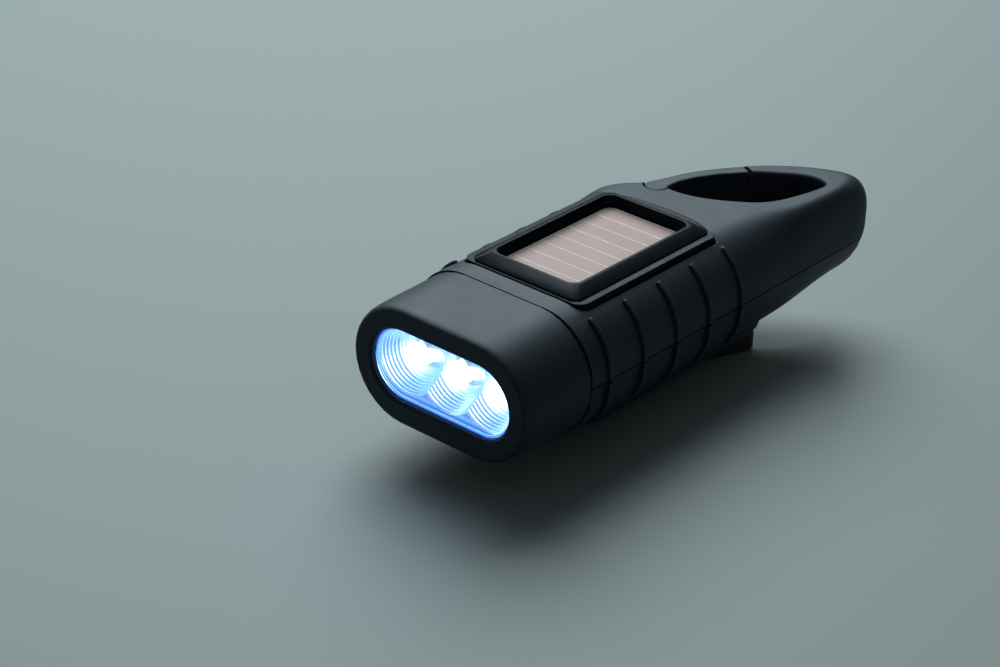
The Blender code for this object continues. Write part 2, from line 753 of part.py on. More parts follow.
opening_half_width = LENS_HALF_WIDTH - LENS_LIP
opening_half_height = LENS_HALF_HEIGHT - LENS_LIP
window_bm = bmesh.new()
add_loft(
    window_bm,
    [
        slot_ring(opening_half_width + OVERRUN, opening_half_height + OVERRUN, -OVERRUN),
        slot_ring(opening_half_width, opening_half_height, LENS_LIP),
        slot_ring(opening_half_width, opening_half_height, LENS_FRONT + OVERRUN),
    ],
)
boolean(head_cap, finish(window_bm, "head_window"), "DIFFERENCE")
room_bm = bmesh.new()
add_loft(
    room_bm,
    [
        slot_ring(LENS_HALF_WIDTH + GAP, LENS_HALF_HEIGHT + GAP, LENS_FRONT),
        slot_ring(LENS_HALF_WIDTH + GAP, LENS_HALF_HEIGHT + GAP, HEAD_LENGTH + OVERRUN),
    ],
)
boolean(head_cap, finish(room_bm, "head_room"), "DIFFERENCE")
lug_bm = bmesh.new()
for side in (1, -1):
    outer = side * (inner_half - LUG_INSET)
    inner = side * (inner_half - LUG_INSET - LUG_THICKNESS)
    add_box(
        lug_bm,
        sorted((outer, inner)),
        (HEAD_LENGTH - LUG_ROOT, BODY_START + LUG_REACH),
        (-LUG_HALF_HEIGHT, LUG_HALF_HEIGHT),
    )
boolean(head_cap, finish(lug_bm, "head_lugs"), "UNION")

lens_bm = bmesh.new()
lens_start = LENS_FRONT + GAP
lens_end = lens_start + LENS_THICKNESS
add_loft(
    lens_bm,
    [
        slot_ring(LENS_HALF_WIDTH, LENS_HALF_HEIGHT, lens_start),
        slot_ring(LENS_HALF_WIDTH, LENS_HALF_HEIGHT, lens_end),
    ],
)
finish(lens_bm, "lens", clear_plastic, smooth=35)

# Reflector and lamps
# Three deep bowls that run into each other, with a 5 mm lamp at the bottom of each.

LAMP_COUNT = 3
BOWL_BROW = 1.2 * MM
BOWL_SIDE = 0.5 * MM
BOWL_DEPTH = 8.0 * MM
BOWL_EXPONENT = 0.55
BOWL_STEPS = 4
BOWL_SIDES = 18
LAMP_RADIUS = 2.5 * MM
LAMP_FLANGE_RADIUS = 2.8 * MM
LAMP_FLANGE = 1.0 * MM
LAMP_LENGTH = 8.6 * MM
REFLECTOR_LENGTH = 9.8 * MM
LAMP_BOARD_THICKNESS = 1.6 * MM
LAMP_BOARD_TRIM = 0.6 * MM

BOWL_RADIUS = LENS_HALF_HEIGHT - BOWL_BROW
LAMP_PITCH = LENS_HALF_WIDTH - BOWL_SIDE - BOWL_RADIUS
reflector_start = lens_end + GAP
reflector_end = reflector_start + REFLECTOR_LENGTH
reflector_bm = bmesh.new()
add_loft(
    reflector_bm,
    [
        slot_ring(LENS_HALF_WIDTH, LENS_HALF_HEIGHT, reflector_start),
        slot_ring(LENS_HALF_WIDTH, LENS_HALF_HEIGHT, reflector_end),
    ],
)
reflector = finish(reflector_bm, "reflector", chrome, smooth=35)
lamp_hole = LAMP_FLANGE_RADIUS + GAP
lamp_places = [(index - (LAMP_COUNT - 1) / 2) * LAMP_PITCH for index in range(LAMP_COUNT)]
board_start = reflector_end + GAP
for index, x in enumerate(lamp_places):
    bowl_bm = bmesh.new()
    bowl_rings = []
    for step in range(BOWL_STEPS + 1):
        depth_share = step / BOWL_STEPS
        radius = lamp_hole + (BOWL_RADIUS - lamp_hole) * (1 - depth_share) ** BOWL_EXPONENT
        y = reflector_start + depth_share * BOWL_DEPTH
        circle = arc((0, 0), radius, 0, 360, BOWL_SIDES)[:-1]
        bowl_rings.append([(x + dx, y, z) for dx, z in circle])
    mouth = [(px, reflector_start - OVERRUN, pz) for px, py, pz in bowl_rings[0]]
    throat = [(px, reflector_end + OVERRUN, pz) for px, py, pz in bowl_rings[-1]]
    add_loft(bowl_bm, [mouth] + bowl_rings + [throat])
    boolean(reflector, finish(bowl_bm, f"bowl_{index + 1}"), "DIFFERENCE")
    dome = [
        (LAMP_RADIUS * math.sin(math.radians(turn)), LAMP_LENGTH - LAMP_RADIUS * (
            1 - math.cos(math.radians(turn))
        ))
        for turn in (0, 30, 60, 90)
    ]
    profile = dome + [(LAMP_RADIUS, LAMP_FLANGE), (LAMP_FLANGE_RADIUS, LAMP_FLANGE),
                      (LAMP_FLANGE_RADIUS, 0), (0, 0)]
    turned(f"led_{index + 1}", profile, led_white, (x, board_start - GAP, 0), 12, axis="-Y")

board_bm = bmesh.new()
board_half_width = LENS_HALF_WIDTH - LAMP_BOARD_TRIM
board_half_height = LENS_HALF_HEIGHT - LAMP_BOARD_TRIM
add_loft(
    board_bm,
    [
        slot_ring(board_half_width, board_half_height, y, 8)
        for y in (board_start, board_start + LAMP_BOARD_THICKNESS)
    ],
)
finish(board_bm, "led_board", board_green)

# Solar panel
# A framed insert sunk in the top of the upper shell, with a raised rim round the cell.

PANEL_MARGIN = 7.8 * MM
PANEL_START = 5.0 * MM
PANEL_TAIL_REACH = 3.6 * MM
PANEL_ARCH = 3.9 * MM
PANEL_CORNER = 2.6 * MM
PANEL_PROUD = 0.2 * MM
PANEL_THICKNESS = 2.5 * MM
# Each row: share of the half width, and share of the arch's rise
PANEL_ARCH_SHARES = [(1.0, -0.67), (1.0, 0.0), (0.84, 0.33), (0.5, 0.83), (0.0, 1.0)]
PANEL_ARCH_STEPS = 2
SHOULDER = 3.0 * MM
RIM_START = 1.9 * MM
RIM_RISE = 1.9 * MM
RIM_TAPER = 1.1 * MM
RIM_WIDTH = 1.0 * MM
RIM_CORNER = 2.2 * MM
CELL_SINK = 2.7 * MM
CELL_CORNER = 1.2 * MM
CELL_THICKNESS = 0.6 * MM
WIRE_HOLE_RADIUS = 2.5 * MM
WIRE_HOLE_BACK = 6.0 * MM

PANEL_HALF_WIDTH = HALF_WIDTH - PANEL_MARGIN
PANEL_FRONT = BODY_START + PANEL_START
PANEL_SIDE_END = TAIL_START + PANEL_TAIL_REACH
PANEL_TOP = HALF_HEIGHT + PANEL_PROUD
PANEL_FLOOR = PANEL_TOP - PANEL_THICKNESS
RIM_HALF_WIDTH = PANEL_HALF_WIDTH - SHOULDER
RIM_FRONT = PANEL_FRONT + RIM_START
RIM_TOP = PANEL_TOP + RIM_RISE
RIM_INSET = RIM_TAPER + RIM_WIDTH
CELL_TOP = RIM_TOP - CELL_SINK


def panel_outline(spread):
    """Outline of the insert, grown all round: straight sides and an arched back."""
    half, corner = PANEL_HALF_WIDTH + spread, PANEL_CORNER + spread
    front, rise = PANEL_FRONT - spread, PANEL_ARCH + spread
    arch = [(x * half, PANEL_SIDE_END + y * rise) for x, y in PANEL_ARCH_SHARES]
    right = [(point.x, point.y) for point in spline(arch, PANEL_ARCH_STEPS)]
    left = [(-x, y) for x, y in reversed(right[:-1])]
    return (
        right + left
        + arc((corner - half, front + corner), corner, 180, 270, 4)
        + arc((half - corner, front + corner), corner, 270, 360, 4)
    )


pocket_bm = bmesh.new()
add_prism(pocket_bm, panel_outline(GAP), (PANEL_FLOOR - GAP, HALF_HEIGHT + OVERRUN))
boolean(upper_shell, finish(pocket_bm, "panel_pocket"), "DIFFERENCE")
wire_place = (0, PANEL_FRONT + WIRE_HOLE_BACK, 0)
boolean(
    upper_shell,
    cylinder_tool("panel_wire_hole", wire_place, WIRE_HOLE_RADIUS,
                  (CEILING - OVERRUN, HALF_HEIGHT), 16),
    "DIFFERENCE",
)

panel_bm = bmesh.new()
add_prism(panel_bm, panel_outline(0), (PANEL_FLOOR, PANEL_TOP))
solar_frame = finish(panel_bm, "solar_frame", gloss_black, smooth=35)


def rim_outline(inset, corner):
    """Outline of the rim, drawn in from its foot."""
    span = (RIM_FRONT + inset, PANEL_SIDE_END - inset)
    return rounded_rectangle(RIM_HALF_WIDTH - inset, span, corner)


rim_bm = bmesh.new()
add_loft(
    rim_bm,
    [
        [(x, y, PANEL_TOP - SINK) for x, y in rim_outline(0, RIM_CORNER)],
        [(x, y, RIM_TOP) for x, y in rim_outline(RIM_TAPER, RIM_CORNER)],
    ],
)
boolean(solar_frame, finish(rim_bm, "panel_rim"), "UNION")
tray_bm = bmesh.new()
add_prism(
    tray_bm, rim_outline(RIM_INSET, CELL_CORNER),
    (CELL_TOP - CELL_THICKNESS - GAP, RIM_TOP + OVERRUN),
)
boolean(solar_frame, finish(tray_bm, "cell_tray"), "DIFFERENCE")
cell_bm = bmesh.new()
add_prism(
    cell_bm, rim_outline(RIM_INSET + GAP, CELL_CORNER - GAP), (CELL_TOP - CELL_THICKNESS, CELL_TOP)
)
finish(cell_bm, "solar_cell", cell_pink)

# Gear train
# Involute spur gears step the crank up about fifty times to the generator's rotor.

PRESSURE_ANGLE = 22
ADDENDUM_SHARE = 0.85
DEDENDUM_SHARE = 1.15
BACKLASH = 0.10 * MM
CENTRE_SLACK = 0.08 * MM
DRIVE_PITCH_RADIUS = 14.7 * MM
FIRST_WHEEL_PITCH_RADIUS = 12.0 * MM
SECOND_WHEEL_PITCH_RADIUS = 9.0 * MM
DRIVE_TEETH = 42
FIRST_PINION_TEETH = 12
FIRST_WHEEL_TEETH = 40
SECOND_PINION_TEETH = 10
SECOND_WHEEL_TEETH = 36
ROTOR_TEETH = 10
CRANK_START = 22.1 * MM
FIRST_AXIS_ANGLE = 72.5
SECOND_AXIS_ANGLE = 161.0
ROTOR_AXIS_ANGLE = -88.5

coarse_module = 2 * DRIVE_PITCH_RADIUS / DRIVE_TEETH
medium_module = 2 * FIRST_WHEEL_PITCH_RADIUS / FIRST_WHEEL_TEETH
fine_module = 2 * SECOND_WHEEL_PITCH_RADIUS / SECOND_WHEEL_TEETH
crank_place = BODY_START + CRANK_START

def gear_outline(teeth, module, phase, centre):
    """Closed involute outline with one tooth centred on the phase angle in degrees."""
    pressure = math.radians(PRESSURE_ANGLE)
    pitch = teeth * module / 2
    base = pitch * math.cos(pressure)
    root = pitch - DEDENDUM_SHARE * module
    tip = pitch + ADDENDUM_SHARE * module
    half_angle = (math.pi * module / 2 - BACKLASH) / (2 * pitch)
    first = max(base, root)
    flank = [first, (first + tip) / 2, tip]
    side = []
    for radius in flank:
        contact = math.acos(min(base / radius, 1.0))
        spread = math.tan(contact) - contact - (math.tan(pressure) - pressure)
        side.append((radius, half_angle - spread))
    if root < base:
        side.insert(0, (root, side[0][1]))
    made = []
    for index in range(teeth):
        middle = math.radians(phase) + 2 * math.pi * index / teeth
        corners = [(radius, middle - turn) for radius, turn in side]
        corners += [(radius, middle + turn) for radius, turn in reversed(side)]
        made += [
            (centre[0] + radius * math.cos(angle), centre[1] + radius * math.sin(angle))
            for radius, angle in corners
        ]
    return made


def mesh_phase(driver_phase, driver_teeth, follower_teeth, direction):
    """Phase that puts a gap of the follower on a tooth of the driver."""
    lead = direction - driver_phase
    return direction + 180 + 180 / follower_teeth + lead * driver_teeth / follower_teeth


def beside(centre, direction, distance):
    """Place at a distance from a centre, in a direction in degrees."""
    turn = math.radians(direction)
    return (centre[0] + distance * math.cos(turn), centre[1] + distance * math.sin(turn))


def centre_distance(first, second, module):
    """Distance between two meshing gears."""
    return (first + second) * module / 2 + CENTRE_SLACK


crank_axis = (0, crank_place)
first_axis = beside(
    crank_axis, FIRST_AXIS_ANGLE, centre_distance(DRIVE_TEETH, FIRST_PINION_TEETH, coarse_module)
)
second_axis = beside(
    first_axis, SECOND_AXIS_ANGLE,
    centre_distance(FIRST_WHEEL_TEETH, SECOND_PINION_TEETH, medium_module),
)
rotor_axis = beside(
    second_axis, ROTOR_AXIS_ANGLE, centre_distance(SECOND_WHEEL_TEETH, ROTOR_TEETH, fine_module)
)
first_pinion_phase = mesh_phase(0, DRIVE_TEETH, FIRST_PINION_TEETH, FIRST_AXIS_ANGLE)
second_pinion_phase = mesh_phase(0, FIRST_WHEEL_TEETH, SECOND_PINION_TEETH, SECOND_AXIS_ANGLE)
rotor_phase = mesh_phase(0, SECOND_WHEEL_TEETH, ROTOR_TEETH, ROTOR_AXIS_ANGLE)


def gear(name, look, centre, wheels, hubs, bore=None):
    """A gear body: toothed discs joined to round hubs, with an optional bore."""
    body = None
    for index, (teeth, module, phase, layer) in enumerate(wheels):
        bm = bmesh.new()
        add_prism(bm, gear_outline(teeth, module, phase, centre), layer)
        if body is None:
            body = finish(bm, name, look, origin=(*centre, 0))
        else:
            boolean(body, finish(bm, f"{name}_teeth_{index}"), "UNION")
    for index, (radius, span) in enumerate(hubs):
        tool = cylinder_tool(f"{name}_hub_{index}", (*centre, 0), radius, span, 20)
        boolean(body, tool, "UNION")
    if bore:
        tool = cylinder_tool(f"{name}_bore", (*centre, 0), bore, (-BODY_HEIGHT, BODY_HEIGHT), 16)
        boolean(body, tool, "DIFFERENCE")
    return body


SHAFT_RADIUS = 3.0 * MM
COLLAR_RADIUS = 4.6 * MM
SHAFT_SOCKET = 2.0 * MM
CRANK_SCREW_RADIUS = 1.0 * MM
CRANK_SCREW_LENGTH = 6.0 * MM
AXLE_RADIUS = 1.0 * MM
AXLE_HUB_RADIUS = 2.1 * MM
ROTOR_SHAFT_RADIUS = 1.1 * MM
STATOR_RADIUS = 9.6 * MM
STATOR_WALL = 2.4 * MM
MAGNET_GAP = 0.4 * MM
MAGNET_RADIUS = STATOR_RADIUS - STATOR_WALL - MAGNET_GAP
MAGNET_HEIGHT = 6.0 * MM

shaft_end = -ARM_TOP - SHAFT_SOCKET
drive_gear = gear(
    "drive_gear", nylon_white, crank_axis,
    [(DRIVE_TEETH, coarse_module, 0, (low_bottom, low_top))],
    [(COLLAR_RADIUS, (floor_top, low_bottom + SINK)), (SHAFT_RADIUS, (shaft_end, low_top + GAP))],
)
boolean(
    drive_gear,
    cylinder_tool("shaft_screw_hole", (*crank_axis, 0), CRANK_SCREW_RADIUS + GAP,
                  (shaft_end - OVERRUN, shaft_end + CRANK_SCREW_LENGTH), 16),
    "DIFFERENCE",
)
boolean(
    lower_shell,
    cylinder_tool("shaft_bearing", (*crank_axis, 0), SHAFT_RADIUS + GAP,
                  (-SEAT_DEPTH - OVERRUN, -FLOOR + SINK), 24),
    "DIFFERENCE",
)
gear(
    "first_idler", nylon_white, first_axis,
    [(FIRST_WHEEL_TEETH, medium_module, 0, (middle_bottom, middle_top)),
     (FIRST_PINION_TEETH, coarse_module, first_pinion_phase, (low_bottom, middle_bottom + SINK))],
    [(AXLE_HUB_RADIUS, (floor_top, low_bottom + SINK)),
     (AXLE_HUB_RADIUS, (middle_top - SINK, plate_bottom - GAP))],
    AXLE_RADIUS + GAP / 2,
)
gear(
    "second_idler", nylon_white, second_axis,
    [(SECOND_WHEEL_TEETH, fine_module, 0, (high_bottom, high_top)),
     (SECOND_PINION_TEETH, medium_module, second_pinion_phase, (middle_bottom, high_bottom + SINK))],
    [(AXLE_HUB_RADIUS, (floor_top, middle_bottom + SINK)),
     (AXLE_HUB_RADIUS, (high_top - SINK, plate_bottom - GAP))],
    AXLE_RADIUS + GAP / 2,
)
magnet_bottom = plate_top + GAP
gear(
    "rotor", steel, rotor_axis,
    [(ROTOR_TEETH, fine_module, rotor_phase, (high_bottom, high_top))],
    [(ROTOR_SHAFT_RADIUS, (middle_top, magnet_bottom + SINK)),
     (MAGNET_RADIUS, (magnet_bottom, magnet_bottom + MAGNET_HEIGHT))],
)
for label, centre in (("first", first_axis), ("second", second_axis)):
    axle_bm = bmesh.new()
    add_cylinder(axle_bm, (*centre, 0), AXLE_RADIUS, (floor_top, plate_top), 14)
    finish(axle_bm, f"{label}_axle", steel, smooth=40)

# Gear plate, generator, battery and main board

PLATE_MARGIN = 4.6 * MM
PLATE_NECK_INSET = 3.4 * MM
PLATE_CORNER_INSET = 5.6 * MM
PLATE_NECK_LENGTH = 4.3 * MM
PLATE_TAIL_REACH = 9.0 * MM
PLATE_CLEARANCE = 0.6 * MM
STATOR_HEIGHT = 7.4 * MM
STATOR_LID = 0.9 * MM
MAIN_BOARD_MARGIN = 5.2 * MM
MAIN_BOARD_START = 3.5 * MM
MAIN_BOARD_LENGTH = 17.9 * MM
BOARD_TO_PLATE = 2.7 * MM
MAIN_BOARD_THICKNESS = 1.2 * MM
BATTERY_RADIUS = 10.0 * MM
BATTERY_HEIGHT = 3.2 * MM
BATTERY_BACK = 10.0 * MM
BATTERY_EDGE = 0.3 * MM

plate_half_width = HALF_WIDTH - PLATE_MARGIN
neck_half_width = plate_half_width - PLATE_NECK_INSET
left_corner = plate_half_width - PLATE_CORNER_INSET
board_front = BODY_START + MAIN_BOARD_START
board_back = board_front + MAIN_BOARD_LENGTH
plate_front = board_back + BOARD_TO_PLATE
plate_shoulder = plate_front + PLATE_NECK_LENGTH
plate_back = TAIL_START + PLATE_TAIL_REACH
plate_notch = rear_left_screw[1] - COLUMN_RADIUS - PLATE_CLEARANCE
plate_bm = bmesh.new()
add_prism(
    plate_bm,
    [
        (-neck_half_width, plate_front),
        (neck_half_width, plate_front),
        (neck_half_width, plate_shoulder),
        (plate_half_width, plate_shoulder),
        (plate_half_width, plate_back),
        (-left_corner, plate_back),
        (-left_corner, plate_notch),
        (-plate_half_width, plate_notch),
        (-plate_half_width, plate_shoulder),
        (-neck_half_width, plate_shoulder),
    ],
    (plate_bottom, plate_top),
)
gear_plate = finish(plate_bm, "gear_plate", nylon_white)
for label, centre, radius in (
    ("first", first_axis, AXLE_RADIUS),
    ("second", second_axis, AXLE_RADIUS),
    ("rotor", rotor_axis, ROTOR_SHAFT_RADIUS),
):
    boolean(
        gear_plate,
        cylinder_tool(f"{label}_plate_hole", (*centre, 0), radius + GAP,
                      (plate_bottom - OVERRUN, plate_top + OVERRUN), 16),
        "DIFFERENCE",
    )

stator_base = plate_top + GAP
stator_top = stator_base + STATOR_HEIGHT
stator_bm = bmesh.new()
add_cylinder(stator_bm, (*rotor_axis, 0), STATOR_RADIUS, (stator_base, stator_top), 24)
stator = finish(stator_bm, "generator_stator", copper, smooth=35)
boolean(
    stator,
    cylinder_tool("stator_bore", (*rotor_axis, 0), STATOR_RADIUS - STATOR_WALL,
                  (stator_base - OVERRUN, stator_top - STATOR_LID), 24),
    "DIFFERENCE",
)

main_board_half_width = HALF_WIDTH - MAIN_BOARD_MARGIN
main_board_bm = bmesh.new()
add_box(
    main_board_bm,
    (-main_board_half_width, main_board_half_width),
    (board_front, board_back),
    (board_bottom, board_bottom + MAIN_BOARD_THICKNESS),
)
finish(main_board_bm, "main_board", board_green)
battery_bottom = board_bottom + MAIN_BOARD_THICKNESS + GAP
turned(
    "battery",
    [
        (0, BATTERY_HEIGHT),
        (BATTERY_RADIUS - BATTERY_EDGE, BATTERY_HEIGHT),
        (BATTERY_RADIUS, BATTERY_HEIGHT - BATTERY_EDGE),
        (BATTERY_RADIUS, 0),
        (0, 0),
    ],
    steel,
    (0, board_front + BATTERY_BACK, battery_bottom),
    28,
)

# Push button
# A latching switch under the main board, with its cap in the underside near the head.

BUTTON_START = 4.1 * MM
BUTTON_RADIUS = 2.6 * MM
BUTTON_FLANGE_RADIUS = 3.4 * MM
BUTTON_FLANGE = 0.7 * MM
BUTTON_PROUD = 1.2 * MM
BUTTON_TRAVEL = 1.0 * MM
BUTTON_EDGE = 0.4 * MM
SWITCH_HALF_SIZE = 2.1 * MM

button_place = BODY_START + BUTTON_START
button_bottom = -HALF_HEIGHT - BUTTON_PROUD
flange_bottom = -FLOOR + GAP
button_top = flange_bottom + BUTTON_FLANGE
switch_bottom = button_top + BUTTON_TRAVEL + GAP
turned(
    "push_button",
    [
        (0, button_top),
        (BUTTON_FLANGE_RADIUS, button_top),
        (BUTTON_FLANGE_RADIUS, flange_bottom),
        (BUTTON_RADIUS, flange_bottom),
        (BUTTON_RADIUS, button_bottom + BUTTON_EDGE),
        (BUTTON_RADIUS - BUTTON_EDGE, button_bottom),
        (0, button_bottom),
    ],
    gloss_black,
    (0, button_place, 0),
    24,
)
boolean(
    lower_shell,
    cylinder_tool("button_hole", (0, button_place, 0), BUTTON_RADIUS + GAP,
                  (-HALF_HEIGHT - OVERRUN, -FLOOR + SINK), 24),
    "DIFFERENCE",
)
switch_bm = bmesh.new()
add_box(
    switch_bm,
    (-SWITCH_HALF_SIZE, SWITCH_HALF_SIZE),
    (button_place - SWITCH_HALF_SIZE, button_place + SWITCH_HALF_SIZE),
    (switch_bottom, board_bottom - GAP),
)
finish(switch_bm, "switch_body", gloss_black)

# Crank
# A flat arm that flares to the rear, with a knob that folds out of a slot in it.

ARM_HUB_RADIUS = 9.4 * MM
ARM_END_HALF_WIDTH = 15.4 * MM
ARM_REACH = 48.6 * MM
ARM_EDGE = 0.5 * MM
ARM_SIDE_SHARES = [
    (0.600, 0.080),
    (0.500, 0.200),
    (0.445, 0.340),
    (0.445, 0.500),
    (0.500, 0.610),
    (0.640, 0.710),
    (0.820, 0.835),
    (0.960, 0.945),
    (0.940, 0.985),
    (0.860, 1.000),
]
ARM_HUB_STEPS = 14
KNOB_HINGE_SHARE = 0.895
KNOB_RADIUS = 2.3 * MM
KNOB_LENGTH = 20.0 * MM
KNOB_POST_RADIUS = 1.2 * MM
KNOB_CAP_THICKNESS = 1.0 * MM
KNOB_CAP_RADIUS = 2.0 * MM
KNOB_BLOCK_RADIUS = 2.2 * MM
KNOB_BLOCK_LENGTH = 5.2 * MM
SLOT_HALF_WIDTH = 3.0 * MM
SLOT_END_ROOM = 1.0 * MM
KNOB_PIN_RADIUS = 0.7 * MM
KNOB_PIN_HALF_LENGTH = 5.2 * MM
CRANK_SCREW_HEAD_RADIUS = 2.3 * MM
CRANK_SCREW_HEAD_HEIGHT = 1.2 * MM
CRANK_SCREW_RECESS = 0.6 * MM

arm_right = [
    (x * ARM_END_HALF_WIDTH, crank_place + y * ARM_REACH) for x, y in ARM_SIDE_SHARES
]
arm_outline = (
    arc(crank_axis, ARM_HUB_RADIUS, 180, 360, ARM_HUB_STEPS)
    + arm_right
    + [(-x, y) for x, y in reversed(arm_right)]
)
arm_bm = bmesh.new()
add_prism(arm_bm, arm_outline, (-REST_DEPTH, -ARM_TOP))
arm = finish(arm_bm, "crank_arm", crank_black, origin=(*crank_axis, 0), smooth=35)
arm_edges = arm.modifiers.new("edges", "BEVEL")
arm_edges.width = ARM_EDGE
arm_edges.segments = 1
arm_edges.limit_method = "ANGLE"
arm_edges.angle_limit = math.radians(60)

knob_height = -(REST_DEPTH + ARM_TOP) / 2
knob_hinge = crank_place + KNOB_HINGE_SHARE * ARM_REACH
knob_tip = knob_hinge - KNOB_BLOCK_RADIUS - GAP - KNOB_LENGTH - GAP - KNOB_CAP_THICKNESS
slot_bm = bmesh.new()
add_box(
    slot_bm,
    (-SLOT_HALF_WIDTH, SLOT_HALF_WIDTH),
    (knob_tip - SLOT_END_ROOM, knob_hinge + KNOB_BLOCK_RADIUS + GAP),
    (-REST_DEPTH - OVERRUN, -ARM_TOP + OVERRUN),
)
boolean(arm, finish(slot_bm, "knob_slot"), "DIFFERENCE")
boolean(
    arm,
    cylinder_tool("knob_pin_hole", (0, knob_hinge, knob_height), KNOB_PIN_RADIUS + GAP,
                  (-KNOB_PIN_HALF_LENGTH - GAP, KNOB_PIN_HALF_LENGTH + GAP), 14, "X"),
    "DIFFERENCE",
)
boolean(
    arm,
    cylinder_tool("shaft_socket", (*crank_axis, 0), SHAFT_RADIUS + GAP,
                  (shaft_end - GAP, -ARM_TOP + OVERRUN), 24),
    "DIFFERENCE",
)
boolean(
    arm,
    cylinder_tool("crank_screw_hole", (*crank_axis, 0), CRANK_SCREW_RADIUS + GAP,
                  (-REST_DEPTH, shaft_end), 16),
    "DIFFERENCE",
)
screw_head_top = -REST_DEPTH + CRANK_SCREW_RECESS + CRANK_SCREW_HEAD_HEIGHT
crank_screw_tip = shaft_end + CRANK_SCREW_LENGTH - CRANK_SCREW_RADIUS
boolean(
    arm,
    cylinder_tool("crank_screw_seat", (*crank_axis, 0), CRANK_SCREW_HEAD_RADIUS + GAP,
                  (-REST_DEPTH - OVERRUN, screw_head_top + GAP), 20),
    "DIFFERENCE",
)
turned(
    "crank_screw",
    [
        (0, crank_screw_tip),
        (CRANK_SCREW_RADIUS, crank_screw_tip - CRANK_SCREW_RADIUS),
        (CRANK_SCREW_RADIUS, screw_head_top),
        (CRANK_SCREW_HEAD_RADIUS, screw_head_top),
        (CRANK_SCREW_HEAD_RADIUS, screw_head_top - CRANK_SCREW_HEAD_HEIGHT),
        (0, screw_head_top - CRANK_SCREW_HEAD_HEIGHT),
    ],
    steel,
    (*crank_axis, 0),
    16,
)

knob_origin = (0, knob_hinge, knob_height)
post_bm = bmesh.new()
add_cylinder(post_bm, knob_origin, KNOB_BLOCK_RADIUS,
             (-KNOB_BLOCK_LENGTH / 2, KNOB_BLOCK_LENGTH / 2), 20, "X")
knob_post = finish(post_bm, "knob_post", steel, origin=knob_origin, smooth=40)
boolean(
    knob_post,
    cylinder_tool("knob_post_rod", knob_origin, KNOB_POST_RADIUS,
                  (knob_tip + SINK, knob_hinge), 16, "Y"),
    "UNION",
)
boolean(
    knob_post,
    cylinder_tool("knob_post_cap", knob_origin, KNOB_CAP_RADIUS,
                  (knob_tip, knob_tip + KNOB_CAP_THICKNESS), 16, "Y"),
    "UNION",
)
boolean(
    knob_post,
    cylinder_tool("knob_post_bore", knob_origin, KNOB_PIN_RADIUS + GAP,
                  (-KNOB_BLOCK_LENGTH, KNOB_BLOCK_LENGTH), 14, "X"),
    "DIFFERENCE",
)
sleeve_end = knob_hinge - KNOB_BLOCK_RADIUS - GAP
sleeve_bm = bmesh.new()
add_cylinder(sleeve_bm, knob_origin, KNOB_RADIUS, (sleeve_end - KNOB_LENGTH, sleeve_end), 20, "Y")
sleeve = finish(sleeve_bm, "knob_sleeve", crank_black, origin=knob_origin, smooth=35)
boolean(
    sleeve,
    cylinder_tool("knob_sleeve_bore", knob_origin, KNOB_POST_RADIUS + GAP,
                  (sleeve_end - KNOB_LENGTH - OVERRUN, sleeve_end + OVERRUN), 16, "Y"),
    "DIFFERENCE",
)
pin_bm = bmesh.new()
pin_span = (-KNOB_PIN_HALF_LENGTH, KNOB_PIN_HALF_LENGTH)
add_cylinder(pin_bm, knob_origin, KNOB_PIN_RADIUS, pin_span, 12, "X")
finish(pin_bm, "knob_pin", steel, smooth=40)
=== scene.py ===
"""Hand crank flashlight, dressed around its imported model.

The lamp window faces -Y, the carabiner tail +Y and the solar panel +Z.
"""
import json
import math

import bpy
from mathutils import Matrix, Vector

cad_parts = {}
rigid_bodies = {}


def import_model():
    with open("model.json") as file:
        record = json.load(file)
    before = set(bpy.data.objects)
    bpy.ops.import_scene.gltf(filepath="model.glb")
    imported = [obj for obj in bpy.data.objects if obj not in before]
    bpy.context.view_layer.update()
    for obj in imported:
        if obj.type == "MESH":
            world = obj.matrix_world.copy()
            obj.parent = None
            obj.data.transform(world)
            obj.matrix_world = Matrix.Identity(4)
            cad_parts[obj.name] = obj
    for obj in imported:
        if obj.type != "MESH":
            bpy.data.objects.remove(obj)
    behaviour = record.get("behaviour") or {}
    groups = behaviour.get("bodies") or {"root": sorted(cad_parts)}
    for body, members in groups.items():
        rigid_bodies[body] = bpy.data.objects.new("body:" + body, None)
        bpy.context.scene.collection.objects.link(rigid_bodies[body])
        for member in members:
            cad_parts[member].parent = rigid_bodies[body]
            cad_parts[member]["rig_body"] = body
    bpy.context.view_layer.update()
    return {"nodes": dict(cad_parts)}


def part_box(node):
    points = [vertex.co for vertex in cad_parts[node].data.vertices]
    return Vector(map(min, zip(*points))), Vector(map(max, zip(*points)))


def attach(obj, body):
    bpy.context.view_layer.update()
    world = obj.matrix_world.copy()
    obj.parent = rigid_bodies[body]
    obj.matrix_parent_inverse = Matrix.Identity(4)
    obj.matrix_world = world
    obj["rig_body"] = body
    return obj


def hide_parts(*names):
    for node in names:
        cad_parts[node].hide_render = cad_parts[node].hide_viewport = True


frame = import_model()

# Upper shell
# An injection moulding in black plastic with a soft matt coat. Its full side rounds tighten
# to a soft rim round the carabiner's opening. Screws from below hold it on the lower shell.

MM = 0.001
WELD = 0.001 * MM
SHELL_EDGE = 0.16 * MM
EDGE_STEPS = 2
CURVE_ANGLE = math.radians(36)
SOFT_BLACK = (0.007, 0.012, 0.018)
SOFT_BLACK_WORN = (0.008, 0.0135, 0.0205)
COLOUR_BREAKS = (0.35, 0.65)
ROUGHNESS_BREAKS = (0.3, 0.7)
DRIFT_DETAIL = 3.0
GRAIN_DETAIL = 2.0


def choose(*objects):
    """Select these objects alone and make the first one active."""
    bpy.ops.object.select_all(action="DESELECT")
    for chosen in objects:
        chosen.select_set(True)
    bpy.context.view_layer.objects.active = objects[0]


